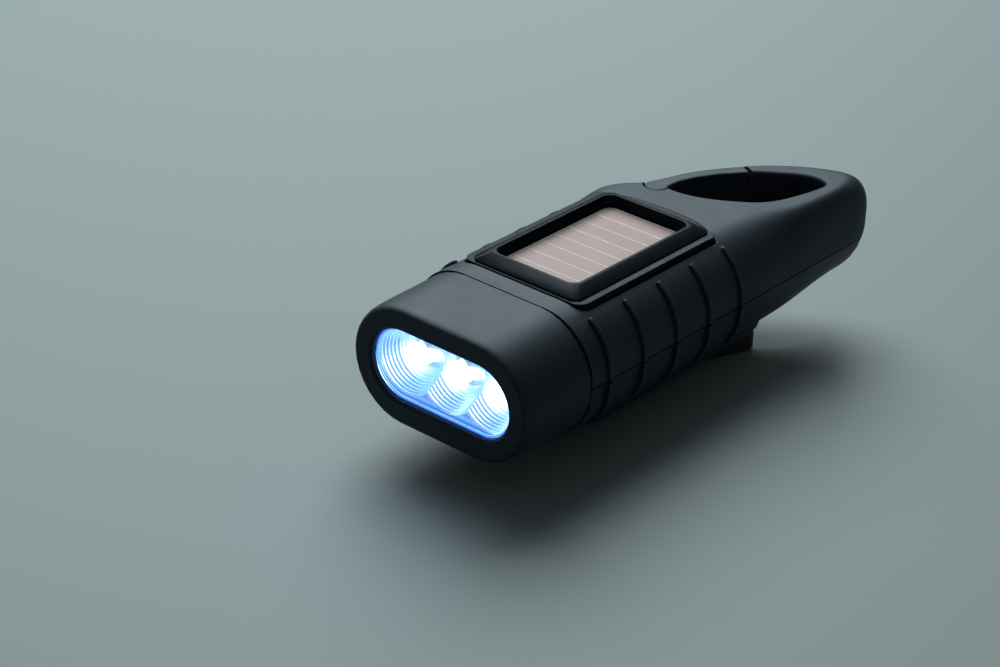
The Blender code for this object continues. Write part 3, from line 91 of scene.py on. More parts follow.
def apply_modifier(piece, kind, **settings):
    """Add a modifier, set it and apply it."""
    choose(piece)
    modifier = piece.modifiers.new(kind.lower(), kind)
    for key, value in settings.items():
        setattr(modifier, key, value)
    bpy.ops.object.modifier_apply(modifier=modifier.name)


def round_edges(piece, width, steps=EDGE_STEPS):
    """Round every edge that is too sharp to be part of a curve."""
    apply_modifier(piece, "BEVEL", width=width, segments=steps,
                   limit_method="ANGLE", angle_limit=CURVE_ANGLE)


def combine(piece, tool, operation):
    """Join a tool to a piece or cut it out, and remove the tool."""
    apply_modifier(piece, "BOOLEAN", object=tool, operation=operation, solver="EXACT")
    bpy.data.objects.remove(tool)


def finish_faces(piece):
    """Shade the curves smooth and keep the flat faces flat."""
    choose(piece)
    bpy.ops.object.shade_smooth_by_angle(angle=CURVE_ANGLE)
    apply_modifier(piece, "WEIGHTED_NORMAL", keep_sharp=True)


def dress(piece, look, body):
    """Give a piece its finish and let it ride on a body."""
    piece.data.materials.clear()
    piece.data.materials.append(look)
    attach(piece, body)


def settle(piece, look, node):
    """Dress a piece and let it stand for a CAD node on the node's body."""
    dress(piece, look, frame["nodes"][node]["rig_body"])
    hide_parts(node)


def principled(look):
    """The shader node of a material."""
    return look.node_tree.nodes["Principled BSDF"]


def set_sockets(look, values):
    """Set sockets of a material's shader by name."""
    for socket, value in values.items():
        principled(look).inputs[socket].default_value = value


def plain_look(name, colour, roughness, metallic=0.0):
    """A new material with one colour and one roughness."""
    look = bpy.data.materials.new(name)
    look.use_nodes = True
    set_sockets(look, {"Base Color": (*colour, 1), "Roughness": roughness, "Metallic": metallic})
    return look


def noise(look, scale, detail=DRIFT_DETAIL):
    """A noise texture on the piece's own coordinates."""
    nodes = look.node_tree.nodes
    place = nodes.new("ShaderNodeTexCoord")
    texture = nodes.new("ShaderNodeTexNoise")
    texture.inputs["Scale"].default_value = scale
    texture.inputs["Detail"].default_value = detail
    look.node_tree.links.new(place.outputs["Object"], texture.inputs["Vector"])
    return texture.outputs["Fac"]


def colour_drift(look, first, second, scale):
    """Let the colour drift between two close tones."""
    ramp = look.node_tree.nodes.new("ShaderNodeValToRGB")
    for element, place, tone in zip(ramp.color_ramp.elements, COLOUR_BREAKS, (first, second)):
        element.position = place
        element.color = (*tone, 1)
    look.node_tree.links.new(noise(look, scale), ramp.inputs["Fac"])
    look.node_tree.links.new(ramp.outputs["Color"], principled(look).inputs["Base Color"])


def roughness_drift(look, low, high, scale):
    """Let the roughness drift between two values."""
    spread = look.node_tree.nodes.new("ShaderNodeMapRange")
    spread.inputs["From Min"].default_value = ROUGHNESS_BREAKS[0]
    spread.inputs["From Max"].default_value = ROUGHNESS_BREAKS[1]
    spread.inputs["To Min"].default_value = low
    spread.inputs["To Max"].default_value = high
    look.node_tree.links.new(noise(look, scale), spread.inputs["Value"])
    look.node_tree.links.new(spread.outputs["Result"], principled(look).inputs["Roughness"])


def grain(look, scale, strength, depth):
    """Raise a fine grain on the surface."""
    bump = look.node_tree.nodes.new("ShaderNodeBump")
    bump.inputs["Strength"].default_value = strength
    bump.inputs["Distance"].default_value = depth
    look.node_tree.links.new(noise(look, scale, GRAIN_DETAIL), bump.inputs["Height"])
    look.node_tree.links.new(bump.outputs["Normal"], principled(look).inputs["Normal"])


soft_black = plain_look("soft_black", SOFT_BLACK, roughness=0.5)
colour_drift(soft_black, SOFT_BLACK, SOFT_BLACK_WORN, scale=45)
roughness_drift(soft_black, low=0.52, high=0.56, scale=160)
grain(soft_black, scale=5200, strength=0.25, depth=0.02 * MM)
set_sockets(soft_black, {
    "Specular IOR Level": 0.38,
    "Specular Tint": (0.70, 0.89, 1.0, 1),
    "Sheen Weight": 0.03,
    "Sheen Roughness": 0.45,
    "Sheen Tint": (0.75, 0.88, 1.0, 1),
})

# Outside of the shell, a skin through upright sections that follow its widest line
TAIL_LENGTH = 55.0 * MM
SIDE_BAND = 1.0 * MM
PARTING_GAP = 0.3 * MM
RIB_RISE = 0.7 * MM
ROW_STEPS = 2
BLEND_ROWS = 3
FINE_STEPS = 4
BELLY_STEPS = 4
CROWN_STEPS = 22
ROUND_SIDES = 32
# Share of the tail's length over which the inward direction turns from square to free
SQUARE_SHARE = 0.25
# A crisp top edge is widened by the softness and made fuller than a circle by the fullness
RIM_SOFTNESS = 2.2 * MM
RIM_FULLNESS = 0.8
# Each row: x share and y share of the widest line, inset of the top edge and of the bottom
# edge as shares of the side round, depth of the belly and climb of the widest line as
# shares of the half height
TAIL_SHARES = [
    (1.0, 0.0, 1.0, 1.0, 1.0, 0.0),
    (1.0, 0.18, 0.88, 1.0, 1.0, 0.0),
    (1.0, 0.31, 0.77, 1.0, 1.0, 0.0),
    (1.0, 0.41, 0.60, 1.0, 0.98, 0.0),
    (1.0, 0.51, 0.36, 1.0, 0.93, 0.02),
    (1.0, 0.64, 0.20, 1.0, 0.85, 0.08),
    (1.004, 0.76, 0.18, 0.92, 0.77, 0.15),
    (1.004, 0.86, 0.26, 0.80, 0.70, 0.22),
    (0.975, 0.94, 0.38, 0.68, 0.65, 0.28),
    (0.875, 0.99, 0.43, 0.60, 0.62, 0.31),
    (0.72, 1.0, 0.40, 0.60, 0.62, 0.31),
    (0.54, 0.973, 0.33, 0.62, 0.64, 0.27),
    (0.30, 0.905, 0.23, 0.56, 0.69, 0.19),
    (0.08, 0.820, 0.17, 0.52, 0.75, 0.11),
    (-0.11, 0.728, 0.15, 0.50, 0.81, 0.05),
    (-0.29, 0.620, 0.15, 0.50, 0.88, 0.02),
    (-0.43, 0.510, 0.15, 0.50, 0.94, 0.0),
    (-0.52, 0.400, 0.15, 0.50, 0.98, 0.0),
    (-0.60, 0.305, 0.15, 0.52, 1.0, 0.0),
    (-0.76, 0.250, 0.28, 0.60, 1.0, 0.0),
    (-0.92, 0.175, 0.52, 0.74, 1.0, 0.0),
    (-0.985, 0.09, 0.76, 0.88, 1.0, 0.0),
    (-1.0, 0.0, 1.0, 1.0, 1.0, 0.0),
]

upper_low, upper_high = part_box("upper_shell")
parting = upper_low.z - PARTING_GAP / 2
half_height = upper_high.z - parting
half_width = upper_high.x - RIB_RISE
side_round = half_height - SIDE_BAND
tail_start = upper_high.y - TAIL_LENGTH


def curve(points, steps):
    """Points of a smooth open curve through rows of any length."""
    made = []
    last = len(points) - 1
    for index in range(last):
        before, start, end, after = (
            Vector(points[min(max(index + shift, 0), last)]) for shift in (-1, 0, 1, 2)
        )
        for step in range(steps):
            t = step / steps
            made.append(0.5 * (
                2 * start + (end - before) * t
                + (2 * before - 5 * start + 4 * end - after) * t ** 2
                + (3 * start - before - 3 * end + after) * t ** 3
            ))
    made.append(Vector(points[-1]))
    return made


def tail_place(x_share, y_share):
    """Place on the tail from shares of the half width and of the tail's length."""
    return Vector((x_share * half_width, tail_start + y_share * TAIL_LENGTH))


def skin_rows():
    """Each place round the housing: x, y, inward direction and the four shares."""
    rows = curve(TAIL_SHARES, ROW_STEPS)
    places = [tail_place(row[0], row[1]) for row in rows]
    last = len(places) - 1
    normals = []
    for index in range(last + 1):
        along = places[min(index + 1, last)] - places[max(index - 1, 0)]
        normals.append(Vector((-along.y, along.x)).normalized())
    made = []
    for index, (row, place) in enumerate(zip(rows, places)):
        near = normals[max(index - BLEND_ROWS, 0):index + BLEND_ROWS + 1]
        inward = sum(near, Vector((0, 0)))
        inward.y *= min(max(row[1] / SQUARE_SHARE, 0), 1)
        made.append(Vector((*place, *inward.normalized(), *row[2:])))
    made = curve(made, FINE_STEPS)
    return [Vector((half_width, upper_low.y, *made[0][2:])), *made,
            Vector((-half_width, upper_low.y, *made[-1][2:]))]


def skin_section(foot, top_share, bottom_share, belly_share, climb_share):
    """Inset and height of each ring, from a foot height to the flat top."""
    climb = climb_share * half_height
    belly_centre = climb - SIDE_BAND
    belly_rise = belly_share * half_height + belly_centre
    start = math.asin(max(belly_centre - foot, 0) / belly_rise)
    made = []
    for step in range(BELLY_STEPS):
        turn = start * (1 - step / BELLY_STEPS)
        inset = bottom_share * side_round * (1 - math.cos(turn))
        height = belly_centre - belly_rise * math.sin(turn)
        level = foot + (climb + SIDE_BAND - foot) * step / BELLY_STEPS
        made.append((inset, height if start else level))
    crispness = 1 - top_share
    top_inset = top_share * side_round + crispness * RIM_SOFTNESS
    power = 2 / (2 + crispness * RIM_FULLNESS)
    crown_centre = climb + SIDE_BAND
    for step in range(CROWN_STEPS + 1):
        turn = math.pi / 2 * step / CROWN_STEPS
        across = 1 - math.cos(turn) ** power if step < CROWN_STEPS else 1
        height = crown_centre + (half_height - crown_centre) * math.sin(turn) ** power
        made.append((top_inset * across, height))
    return made


def solid(name, verts, faces):
    """A closed mesh with its faces pointing out."""
    mesh = bpy.data.meshes.new(name)
    mesh.from_pydata(verts, [], faces)
    made = bpy.data.objects.new(name, mesh)
    bpy.context.scene.collection.objects.link(made)
    choose(made)
    bpy.ops.object.mode_set(mode="EDIT")
    bpy.ops.mesh.select_all(action="SELECT")
    bpy.ops.mesh.normals_make_consistent(inside=False)
    bpy.ops.object.mode_set(mode="OBJECT")
    return made


def loft(name, rings):
    """A solid through closed rings of equal count, with flat ends."""
    count = len(rings[0])
    faces = []
    for index in range(len(rings) - 1):
        first = index * count
        for step in range(count):
            after = (step + 1) % count
            faces.append((first + step, first + after, first + count + after, first + count + step))
    last = (len(rings) - 1) * count
    faces += [list(range(count)), list(range(last, last + count))]
    return solid(name, [point for ring in rings for point in ring], faces)


def prism(name, outline, low, high):
    """An upright solid over a closed outline, between two heights over the parting plane."""
    return loft(name, [[(x, y, parting + z) for x, y in outline] for z in (low, high)])


def fine_skin(name, foot):
    """The housing's finely rounded upper outside as a solid, down to a foot height."""
    rings = []
    for row in skin_rows():
        place, inward = Vector(row[:2]), Vector(row[2:4]).normalized()
        ring = [
            (*(place + inward * inset), parting + height)
            for inset, height in skin_section(foot, *row[4:])
        ]
        rings.append(ring)
    count = len(rings[0])
    faces = [
        (index * count + level, (index + 1) * count + level,
         (index + 1) * count + level + 1, index * count + level + 1)
        for index in range(len(rings) - 1) for level in range(count - 1)
    ]
    faces.append([index * count for index in range(len(rings))])
    faces.append([index * count + count - 1 for index in range(len(rings))])
    last = (len(rings) - 1) * count
    faces.append(list(range(count)) + [last + level for level in reversed(range(count))])
    return solid(name, [point for ring in rings for point in ring], faces)


def arc(centre, radius, first, last, steps):
    """Places on an arc between two angles in degrees."""
    made = []
    for step in range(steps + 1):
        turn = math.radians(first + (last - first) * step / steps)
        made.append((centre[0] + radius * math.cos(turn), centre[1] + radius * math.sin(turn)))
    return made


def cylinder(name, centre, radius, low, high):
    """An upright round cutter between two heights over the parting plane."""
    return prism(name, arc(centre, radius, 0, 360, ROUND_SIDES)[:-1], low, high)


# Cuts of the shell, each with the clearance that its piece needs
CLEARANCE = 0.3 * MM
BEYOND = 3.0 * MM
WALL = 2.0 * MM
CEILING_DEPTH = 4.0 * MM
TUNNEL_STRAIGHT = 2.0 * MM
TUNNEL_REACH = 10.3 * MM
TUNNEL_LEFT_SHARE = 0.72
TUNNEL_STEPS = 8
CASE_SCREWS = ("screw_front_right", "screw_front_left", "screw_rear_right", "screw_rear_left")
COLUMN_RADIUS = 2.7 * MM
SCREW_HOLE_RADIUS = 1.1 * MM
WIRE_HOLE_RADIUS = 2.5 * MM
WIRE_HOLE_BACK = 6.0 * MM
CORNER_STEPS = 8
# Places round the loop's opening, as shares of the half width and of the tail's length
OPENING_SHARES = [
    (-0.265, 0.305),
    (-0.075, 0.309),
    (0.183, 0.351),
    (0.488, 0.442),
    (0.617, 0.527),
    (0.692, 0.633),
    (0.738, 0.735),
    (0.722, 0.785),
    (0.600, 0.798),
    (0.458, 0.778),
    (0.300, 0.733),
    (0.108, 0.667),
    (-0.129, 0.533),
    (-0.279, 0.389),
]
OPENING_STEPS = 5
OPENING_ROUND = 1.0 * MM
OPENING_ROUND_STEPS = 6
GATE_TIP_SHARES = (0.059, 0.6667)
KNUCKLE_RADIUS = 2.9 * MM
ROOM_ANGLES = (30, 182)
ROOM_STEPS = 56
PANEL_ARCH = 3.9 * MM
PANEL_CORNER = 2.6 * MM
PANEL_ARCH_SHARES = [(1.0, -0.67), (1.0, 0.0), (0.84, 0.33), (0.5, 0.83), (0.0, 1.0)]
PANEL_ARCH_STEPS = 6


def tunnel():
    """The hollow that is open to the head and stops before the carabiner."""
    inner = half_width - WALL
    rings = []
    ceiling, floor = half_height - CEILING_DEPTH, half_height - WALL
    for left, y in (
        (-inner, upper_low.y - BEYOND),
        (-inner, tail_start + TUNNEL_STRAIGHT),
        (-inner * TUNNEL_LEFT_SHARE, tail_start + TUNNEL_REACH),
    ):
        outline = (
            arc((inner - ceiling, 0), ceiling, 0, 90, TUNNEL_STEPS)
            + arc((left + ceiling, 0), ceiling, 90, 180, TUNNEL_STEPS)
            + arc((left + floor, 0), floor, 180, 270, TUNNEL_STEPS)[1:]
            + arc((inner - floor, 0), floor, 270, 360, TUNNEL_STEPS)[:-1]
        )
        rings.append([(x, y, parting + z) for x, z in outline])
    return loft("tunnel", rings)


def panel_outline(spread):
    """Outline of the panel frame grown all round, with straight sides and an arched back."""
    low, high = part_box("solar_frame")
    half, corner = high.x + spread, PANEL_CORNER + spread
    front, rise = low.y - spread, PANEL_ARCH + spread
    side_end = high.y - PANEL_ARCH
    right = [
        tuple(point)
        for point in curve([(x * half, side_end + y * rise) for x, y in PANEL_ARCH_SHARES],
                           PANEL_ARCH_STEPS)
    ]
    return (
        right + [(-x, y) for x, y in reversed(right[:-1])]
        + arc((corner - half, front + corner), corner, 180, 270, CORNER_STEPS)
        + arc((half - corner, front + corner), corner, 270, 360, CORNER_STEPS)
    )


def flared_opening(outline):
    """Cutter of the loop's opening, which leaves a softly rounded upper edge."""
    count = len(outline)
    middle = sum(outline, Vector((0, 0))) / count
    normals = []
    for index, point in enumerate(outline):
        along = outline[(index + 1) % count] - outline[index - 1]
        normal = Vector((along.y, -along.x)).normalized()
        normals.append(normal if normal.dot(point - middle) > 0 else -normal)
    levels = [(0, -2 * BEYOND)]
    for step in range(OPENING_ROUND_STEPS + 1):
        turn = math.pi / 2 * step / OPENING_ROUND_STEPS
        levels.append((OPENING_ROUND * (1 - math.cos(turn)),
                       half_height - OPENING_ROUND * (1 - math.sin(turn))))
    levels.append((OPENING_ROUND, half_height + 2 * BEYOND))
    return loft("opening", [
        [(*(point + normal * grown), parting + z) for point, normal in zip(outline, normals)]
        for grown, z in levels
    ])


# Grip ribs, of which this shell carries the upper ends
RIB_COUNT = 5
RIB_START = 5.5 * MM
RIB_PITCH = 11.1 * MM
RIB_WIDTH = 1.3 * MM
RIB_TOP_ANGLE = 58
RIB_ROOT = 0.6 * MM
RIB_SOFTNESS = 0.42 * MM
RIB_EDGE_STEPS = 3
RIB_STEPS = 14


def ribs(side):
    """The upper ends of the five grip ribs on one side."""
    made = []
    centre = half_width - side_round
    for index in range(RIB_COUNT):
        start = upper_low.y + RIB_START + index * RIB_PITCH - RIB_WIDTH / 2
        outer = arc((centre, SIDE_BAND), side_round + RIB_RISE, 0, RIB_TOP_ANGLE, RIB_STEPS)
        inner = arc((centre, SIDE_BAND), side_round - RIB_ROOT, RIB_TOP_ANGLE, 0, RIB_STEPS)
        foot = PARTING_GAP / 2
        section = [(outer[0][0], foot), *outer, *inner, (inner[-1][0], foot)]
        rib = loft("rib", [
            [(side * x, y, parting + z) for x, z in section] for y in (start, start + RIB_WIDTH)
        ])
        round_edges(rib, RIB_SOFTNESS, RIB_EDGE_STEPS)
        made.append(rib)
    return made


def upright_axis(node):
    """The middle of a node, seen from above."""
    low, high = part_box(node)
    return ((low + high) / 2).to_2d()


pivot = upright_axis("gate_pin")
gate_reach = (tail_place(*GATE_TIP_SHARES) - pivot).length
upper_shell = fine_skin("upper_shell_moulded", PARTING_GAP / 2)

hollow = tunnel()
for screw in CASE_SCREWS:
    column = cylinder("column", upright_axis(screw), COLUMN_RADIUS, 0, half_height + BEYOND)
    combine(hollow, column, "DIFFERENCE")
combine(upper_shell, hollow, "DIFFERENCE")

room_outline = (
    arc(pivot, gate_reach + CLEARANCE, *ROOM_ANGLES, ROOM_STEPS)
    + arc(pivot, KNUCKLE_RADIUS + CLEARANCE, ROOM_ANGLES[1], ROOM_ANGLES[0] + 360, ROOM_STEPS)
)
room = prism("gate_room", room_outline, -BEYOND, half_height + BEYOND)
opening_places = [tail_place(*shares) for shares in (*OPENING_SHARES, OPENING_SHARES[0])]
combine(room, flared_opening(curve(opening_places, OPENING_STEPS)[:-1]), "UNION")
combine(upper_shell, room, "DIFFERENCE")

panel_low, panel_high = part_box("solar_frame")
pocket_floor = panel_low.z - CLEARANCE - parting
pocket = prism("panel_pocket", panel_outline(CLEARANCE), pocket_floor, half_height + BEYOND)
combine(upper_shell, pocket, "DIFFERENCE")

for screw in CASE_SCREWS:
    hole_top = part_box(screw)[1].z + CLEARANCE - parting
    hole = cylinder("screw_hole", upright_axis(screw), SCREW_HOLE_RADIUS, -BEYOND, hole_top)
    combine(upper_shell, hole, "DIFFERENCE")

wire_place = (0, panel_low.y + WIRE_HOLE_BACK)
wire_floor = half_height - CEILING_DEPTH - BEYOND
wire_hole = cylinder("wire_hole", wire_place, WIRE_HOLE_RADIUS, wire_floor, half_height)
combine(upper_shell, wire_hole, "DIFFERENCE")

for rib in ribs(1) + ribs(-1):
    combine(upper_shell, rib, "UNION")
round_edges(upper_shell, SHELL_EDGE)
finish_faces(upper_shell)
settle(upper_shell, soft_black, "upper_shell")

# Lower shell and head cap
# Two mouldings in the same plastic and coat. The lower shell carries the works and meets the
# upper one on a flat parting line. The cap hoods the lamp window and plugs into the front.

CAP_EDGE = 0.70 * MM
CAP_EDGE_STEPS = 4
FLAT_ANGLE = math.radians(0.4)


def moulded_copy(node, edge, steps=EDGE_STEPS):
    """A welded copy of a CAD node, with rounded edges unless the edge is zero."""
    piece = bpy.data.objects.new(node + "_moulded", frame["nodes"][node].data.copy())
    bpy.context.scene.collection.objects.link(piece)
    choose(piece)
    bpy.ops.object.mode_set(mode="EDIT")
    bpy.ops.mesh.select_all(action="SELECT")
    bpy.ops.mesh.remove_doubles(threshold=WELD)
    bpy.ops.mesh.dissolve_limited(angle_limit=FLAT_ANGLE)
    bpy.ops.object.mode_set(mode="OBJECT")
    if edge:
        round_edges(piece, edge, steps)
    finish_faces(piece)
    return piece


settle(moulded_copy("lower_shell", SHELL_EDGE), soft_black, "lower_shell")
settle(moulded_copy("head_cap", CAP_EDGE, CAP_EDGE_STEPS), soft_black, "head_cap")

# Carabiner gate
# A moulded arm in the housing's own plastic. It turns on an upright steel pin, and a spring
# in its knuckle holds it shut. Its crown is trimmed to run on from that of the shell.

GATE_EDGE = 0.12 * MM
CROWN_FOOT = 3.0 * MM
CROWN_SINK = 0.08 * MM

gate = moulded_copy("carabiner_gate", GATE_EDGE)
gate_low, gate_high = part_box("carabiner_gate")
left, front = gate_low.x - BEYOND, gate_low.y - BEYOND
right, back = gate_high.x + BEYOND, gate_high.y + BEYOND
crown_outline = [(left, front), (right, front), (right, back), (left, back)]
crown = prism("gate_crown", crown_outline, CROWN_FOOT, half_height + BEYOND)
crown_skin = fine_skin("crown_skin", PARTING_GAP / 2)
for vertex in crown_skin.data.vertices:
    vertex.co.z -= CROWN_SINK
combine(crown, crown_skin, "DIFFERENCE")
combine(gate, crown, "DIFFERENCE")
finish_faces(gate)
settle(gate, soft_black, "carabiner_gate")

# Solar panel frame
# A separate satin black moulding, glued in the top of the housing. A sloped collar with cut
# corners runs round its window and guards the solar cell.

PANEL_EDGE = 0.35 * MM
PANEL_EDGE_STEPS = 3
COLLAR_FOOT = 3.7 * MM
COLLAR_TOP = 1.25 * MM
COLLAR_CORNER = 1.5 * MM
COLLAR_RISE = 1.9 * MM
COLLAR_STEP = 0.25 * MM
COLLAR_SINK = 0.2 * MM
COLLAR_COVER = 0.03 * MM
COLLAR_EDGE = 0.22 * MM
WINDOW_CORNER = 2.3 * MM
WINDOW_SINK = 1.0 * MM
SATIN_BLACK = (0.005, 0.008, 0.012)

satin_black = plain_look("satin_black", SATIN_BLACK, roughness=0.34)
roughness_drift(satin_black, low=0.30, high=0.38, scale=220)
grain(satin_black, scale=4200, strength=0.12, depth=0.015 * MM)
set_sockets(satin_black, {"Specular IOR Level": 0.06, "Specular Tint": (0.62, 0.86, 1.0, 1)})
panel_frame = moulded_copy("solar_frame", PANEL_EDGE, PANEL_EDGE_STEPS)
settle(panel_frame, satin_black, "solar_frame")
cell_low, cell_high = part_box("solar_cell")


def rounded_outline(inset, corner, steps=CORNER_STEPS):
    """Outline of the cell drawn in all round, with round corners, or cut ones at one step."""
    made = []
    for side_x, side_y, first in ((1, 1, 0), (-1, 1, 90), (-1, -1, 180), (1, -1, 270)):
        corner_x = (cell_high.x if side_x > 0 else cell_low.x) - side_x * (inset + corner)
        corner_y = (cell_high.y if side_y > 0 else cell_low.y) - side_y * (inset + corner)
        made += arc((corner_x, corner_y), corner, first, first + 90, steps)
    return made


collar_levels = [
    (COLLAR_FOOT, panel_high.z - COLLAR_RISE - COLLAR_SINK),
    (COLLAR_FOOT, panel_high.z - COLLAR_RISE + COLLAR_STEP),
    (COLLAR_TOP, panel_high.z + COLLAR_COVER),
]
collar = loft("frame_collar", [
    [(x, y, z) for x, y in rounded_outline(-grown, COLLAR_CORNER, steps=1)]
    for grown, z in collar_levels
])
window_floor = cell_high.z - parting - WINDOW_SINK
window_outline = rounded_outline(-CLEARANCE, WINDOW_CORNER)
window = prism("collar_window", window_outline, window_floor, half_height + BEYOND)
combine(collar, window, "DIFFERENCE")
round_edges(collar, COLLAR_EDGE, PANEL_EDGE_STEPS)
finish_faces(collar)
dress(collar, satin_black, "housing")

# Solar cell
# A thin amorphous cell behind a clear resin face. Pale silver lines part it into eight
# strips, and a dark gasket and a pale seal run round it.

CELL_PINK = (0.46, 0.335, 0.315)
CELL_PINK_DEEP = (0.41, 0.295, 0.275)
LINE_SILVER = (0.72, 0.55, 0.50)
SEAL_PALE = (0.60, 0.60, 0.58)
CELL_STRIPS = 8
LINE_WIDTH = 0.22 * MM
LINE_RISE = 0.03 * MM
SEAL_WIDTH = 0.75 * MM
SEAL_CORNER = 1.7 * MM
SEAL_RISE = 0.05 * MM
GASKET_WIDTH = 0.30 * MM
GASKET_CORNER = 2.1 * MM
CELL_CORNER = 0.2 * MM
OVERRUN = 1.0 * MM

cell_pink = plain_look("cell_pink", CELL_PINK, roughness=0.55)
colour_drift(cell_pink, CELL_PINK, CELL_PINK_DEEP, scale=70)
set_sockets(cell_pink, {
    "Coat Weight": 0.05,
    "Coat Roughness": 0.30,
    "Specular IOR Level": 0.2,
})
settle(moulded_copy("solar_cell", 0), cell_pink, "solar_cell")


def block(name, low, high):
    """A box between two corners, made from a cube with its place in its mesh."""
    bpy.ops.object.select_all(action="DESELECT")
    centre = [(a + b) / 2 for a, b in zip(low, high)]
    bpy.ops.mesh.primitive_cube_add(size=1, location=centre)
    made = bpy.context.object
    made.name = name
    made.scale = [b - a for a, b in zip(low, high)]
    bpy.ops.object.transform_apply(location=True, rotation=True, scale=True)
    return made


def join(name, made):
    """Join objects into one mesh with its origin at the centre of the world."""
    choose(*made)
    bpy.ops.object.join()
    piece = bpy.context.object
    piece.name = name
    return piece


cell_top = cell_high.z
lines = []
strip = (cell_high.y - cell_low.y - 2 * SEAL_WIDTH) / CELL_STRIPS
for index in range(1, CELL_STRIPS):
    middle = cell_low.y + SEAL_WIDTH + index * strip
    lines.append(block(
        f"cell_line_{index}",
        (cell_low.x + SEAL_WIDTH, middle - LINE_WIDTH / 2, cell_top - LINE_RISE),
        (cell_high.x - SEAL_WIDTH, middle + LINE_WIDTH / 2, cell_top + LINE_RISE),
    ))
silver_line = plain_look("silver_line", LINE_SILVER, roughness=0.35)
roughness_drift(silver_line, low=0.3, high=0.45, scale=900)
dress(join("cell_lines", lines), silver_line, "housing")


def cell_ring(name, look, outer, inner):
    """A thin ring on the cell between two outlines, each an inset and a corner."""
    low, high = cell_top - SEAL_RISE - parting, cell_top + SEAL_RISE - parting
    made = prism(name, rounded_outline(*outer), low, high)
    hole = prism("ring_cut", rounded_outline(*inner), low - OVERRUN, high + OVERRUN)
    combine(made, hole, "DIFFERENCE")
    dress(made, look, "housing")


gasket_inside = (GASKET_WIDTH, GASKET_CORNER)
cell_ring("cell_gasket", satin_black, (0.0, CELL_CORNER), gasket_inside)
seal_pale = plain_look("seal_pale", SEAL_PALE, roughness=0.4)
roughness_drift(seal_pale, low=0.35, high=0.5, scale=700)
cell_ring("cell_seal", seal_pale, gasket_inside, (SEAL_WIDTH, SEAL_CORNER))

# Lamp window
# A clear acrylic lens snaps in behind the cap's lip. It is a plain slab with polished edges
# and a thin raised rim, on which the lamps' blue light is painted as a blue colour and a glow.

LENS_EDGE = 0.25 * MM
LENS_RIM_INSET = 0.85 * MM
LENS_RIM_WIDTH = 0.40 * MM
LENS_RIM_RISE = 0.30 * MM
LENS_RIM_EDGE = 0.10 * MM
SLOT_SIDES = 96
CLEAR_TINT = (0.93, 0.97, 1.0)
RIM_PAINTED_BLUE = (0.55, 0.75, 1.0)
RIM_PAINTED_GLOW = (0.06, 0.22, 1.0, 1)

clear_plastic = plain_look("clear_plastic", CLEAR_TINT, roughness=0.02)
set_sockets(clear_plastic, {"Transmission Weight": 1.0, "IOR": 1.46})
roughness_drift(clear_plastic, low=0.01, high=0.03, scale=300)
settle(moulded_copy("lens", LENS_EDGE), clear_plastic, "lens")
lens_low, lens_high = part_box("lens")


def slot_block(name, low, high, edge):
    """A block with full round ends, along Y between two corners."""
    radius = (high[2] - low[2]) / 2
    reach = (high[0] - low[0]) / 2 - radius
    centre = [(a + b) / 2 for a, b in zip(low, high)]
    bpy.ops.object.select_all(action="DESELECT")
    bpy.ops.mesh.primitive_cylinder_add(
        vertices=SLOT_SIDES, radius=radius, depth=high[1] - low[1], location=centre,
        rotation=(math.radians(90), 0, 0), end_fill_type="NGON",
    )
    made = bpy.context.object
    made.name = name
    bpy.ops.object.transform_apply(location=True, rotation=True, scale=True)
    for vertex in made.data.vertices:
        away = vertex.co.x - centre[0]
        if abs(away) > WELD:
            vertex.co.x += math.copysign(reach, away)
    if edge:
        round_edges(made, edge)
    return made


def drawn_in(inset, front, back):
    """Corners of a slot block drawn in from the lens, between two depths from its front."""
    low = (lens_low.x + inset, lens_low.y + front, lens_low.z + inset)
    return low, (lens_high.x - inset, lens_low.y + back, lens_high.z - inset)


rim_corners = drawn_in(LENS_RIM_INSET, -LENS_RIM_RISE, LENS_RIM_RISE)
lens_rim = slot_block("lens_rim", *rim_corners, LENS_RIM_EDGE)
cut_corners = drawn_in(LENS_RIM_INSET + LENS_RIM_WIDTH, -OVERRUN, OVERRUN)
combine(lens_rim, slot_block("rim_cut", *cut_corners, 0), "DIFFERENCE")
finish_faces(lens_rim)
# The rim is clear acrylic. Its blue colour and its glow are painted light from the lamps.
painted_glow_rim = plain_look("painted_glow_rim", RIM_PAINTED_BLUE, roughness=0.15)
roughness_drift(painted_glow_rim, low=0.10, high=0.22, scale=500)
set_sockets(painted_glow_rim, {"Emission Color": RIM_PAINTED_GLOW, "Emission Strength": 1.6})
dress(lens_rim, painted_glow_rim, "housing")

# Reflector
# One metallised moulding with three deep bowls that run into each other. Each bowl is a
# paraboloid round its lamp with fine rings, cut from a slot-shaped block.

LAMP_PITCH = 11.1 * MM
BOWL_RADIUS = 7.7 * MM
BOWL_DEPTH = 8.0 * MM
BOWL_THROAT = 3.1 * MM
BOWL_RINGS = 20
BOWL_RIPPLE = 0.16 * MM
BOWL_SIDES = 64
REFLECTOR_EDGE = 0.12 * MM
CHROME = (0.80, 0.86, 0.92)
CHROME_PAINTED_GLOW = (0.16, 0.38, 1.0, 1)

reflector_low, reflector_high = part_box("reflector")
lamp_height = (reflector_low.z + reflector_high.z) / 2
reflector_depth = reflector_high.y - reflector_low.y


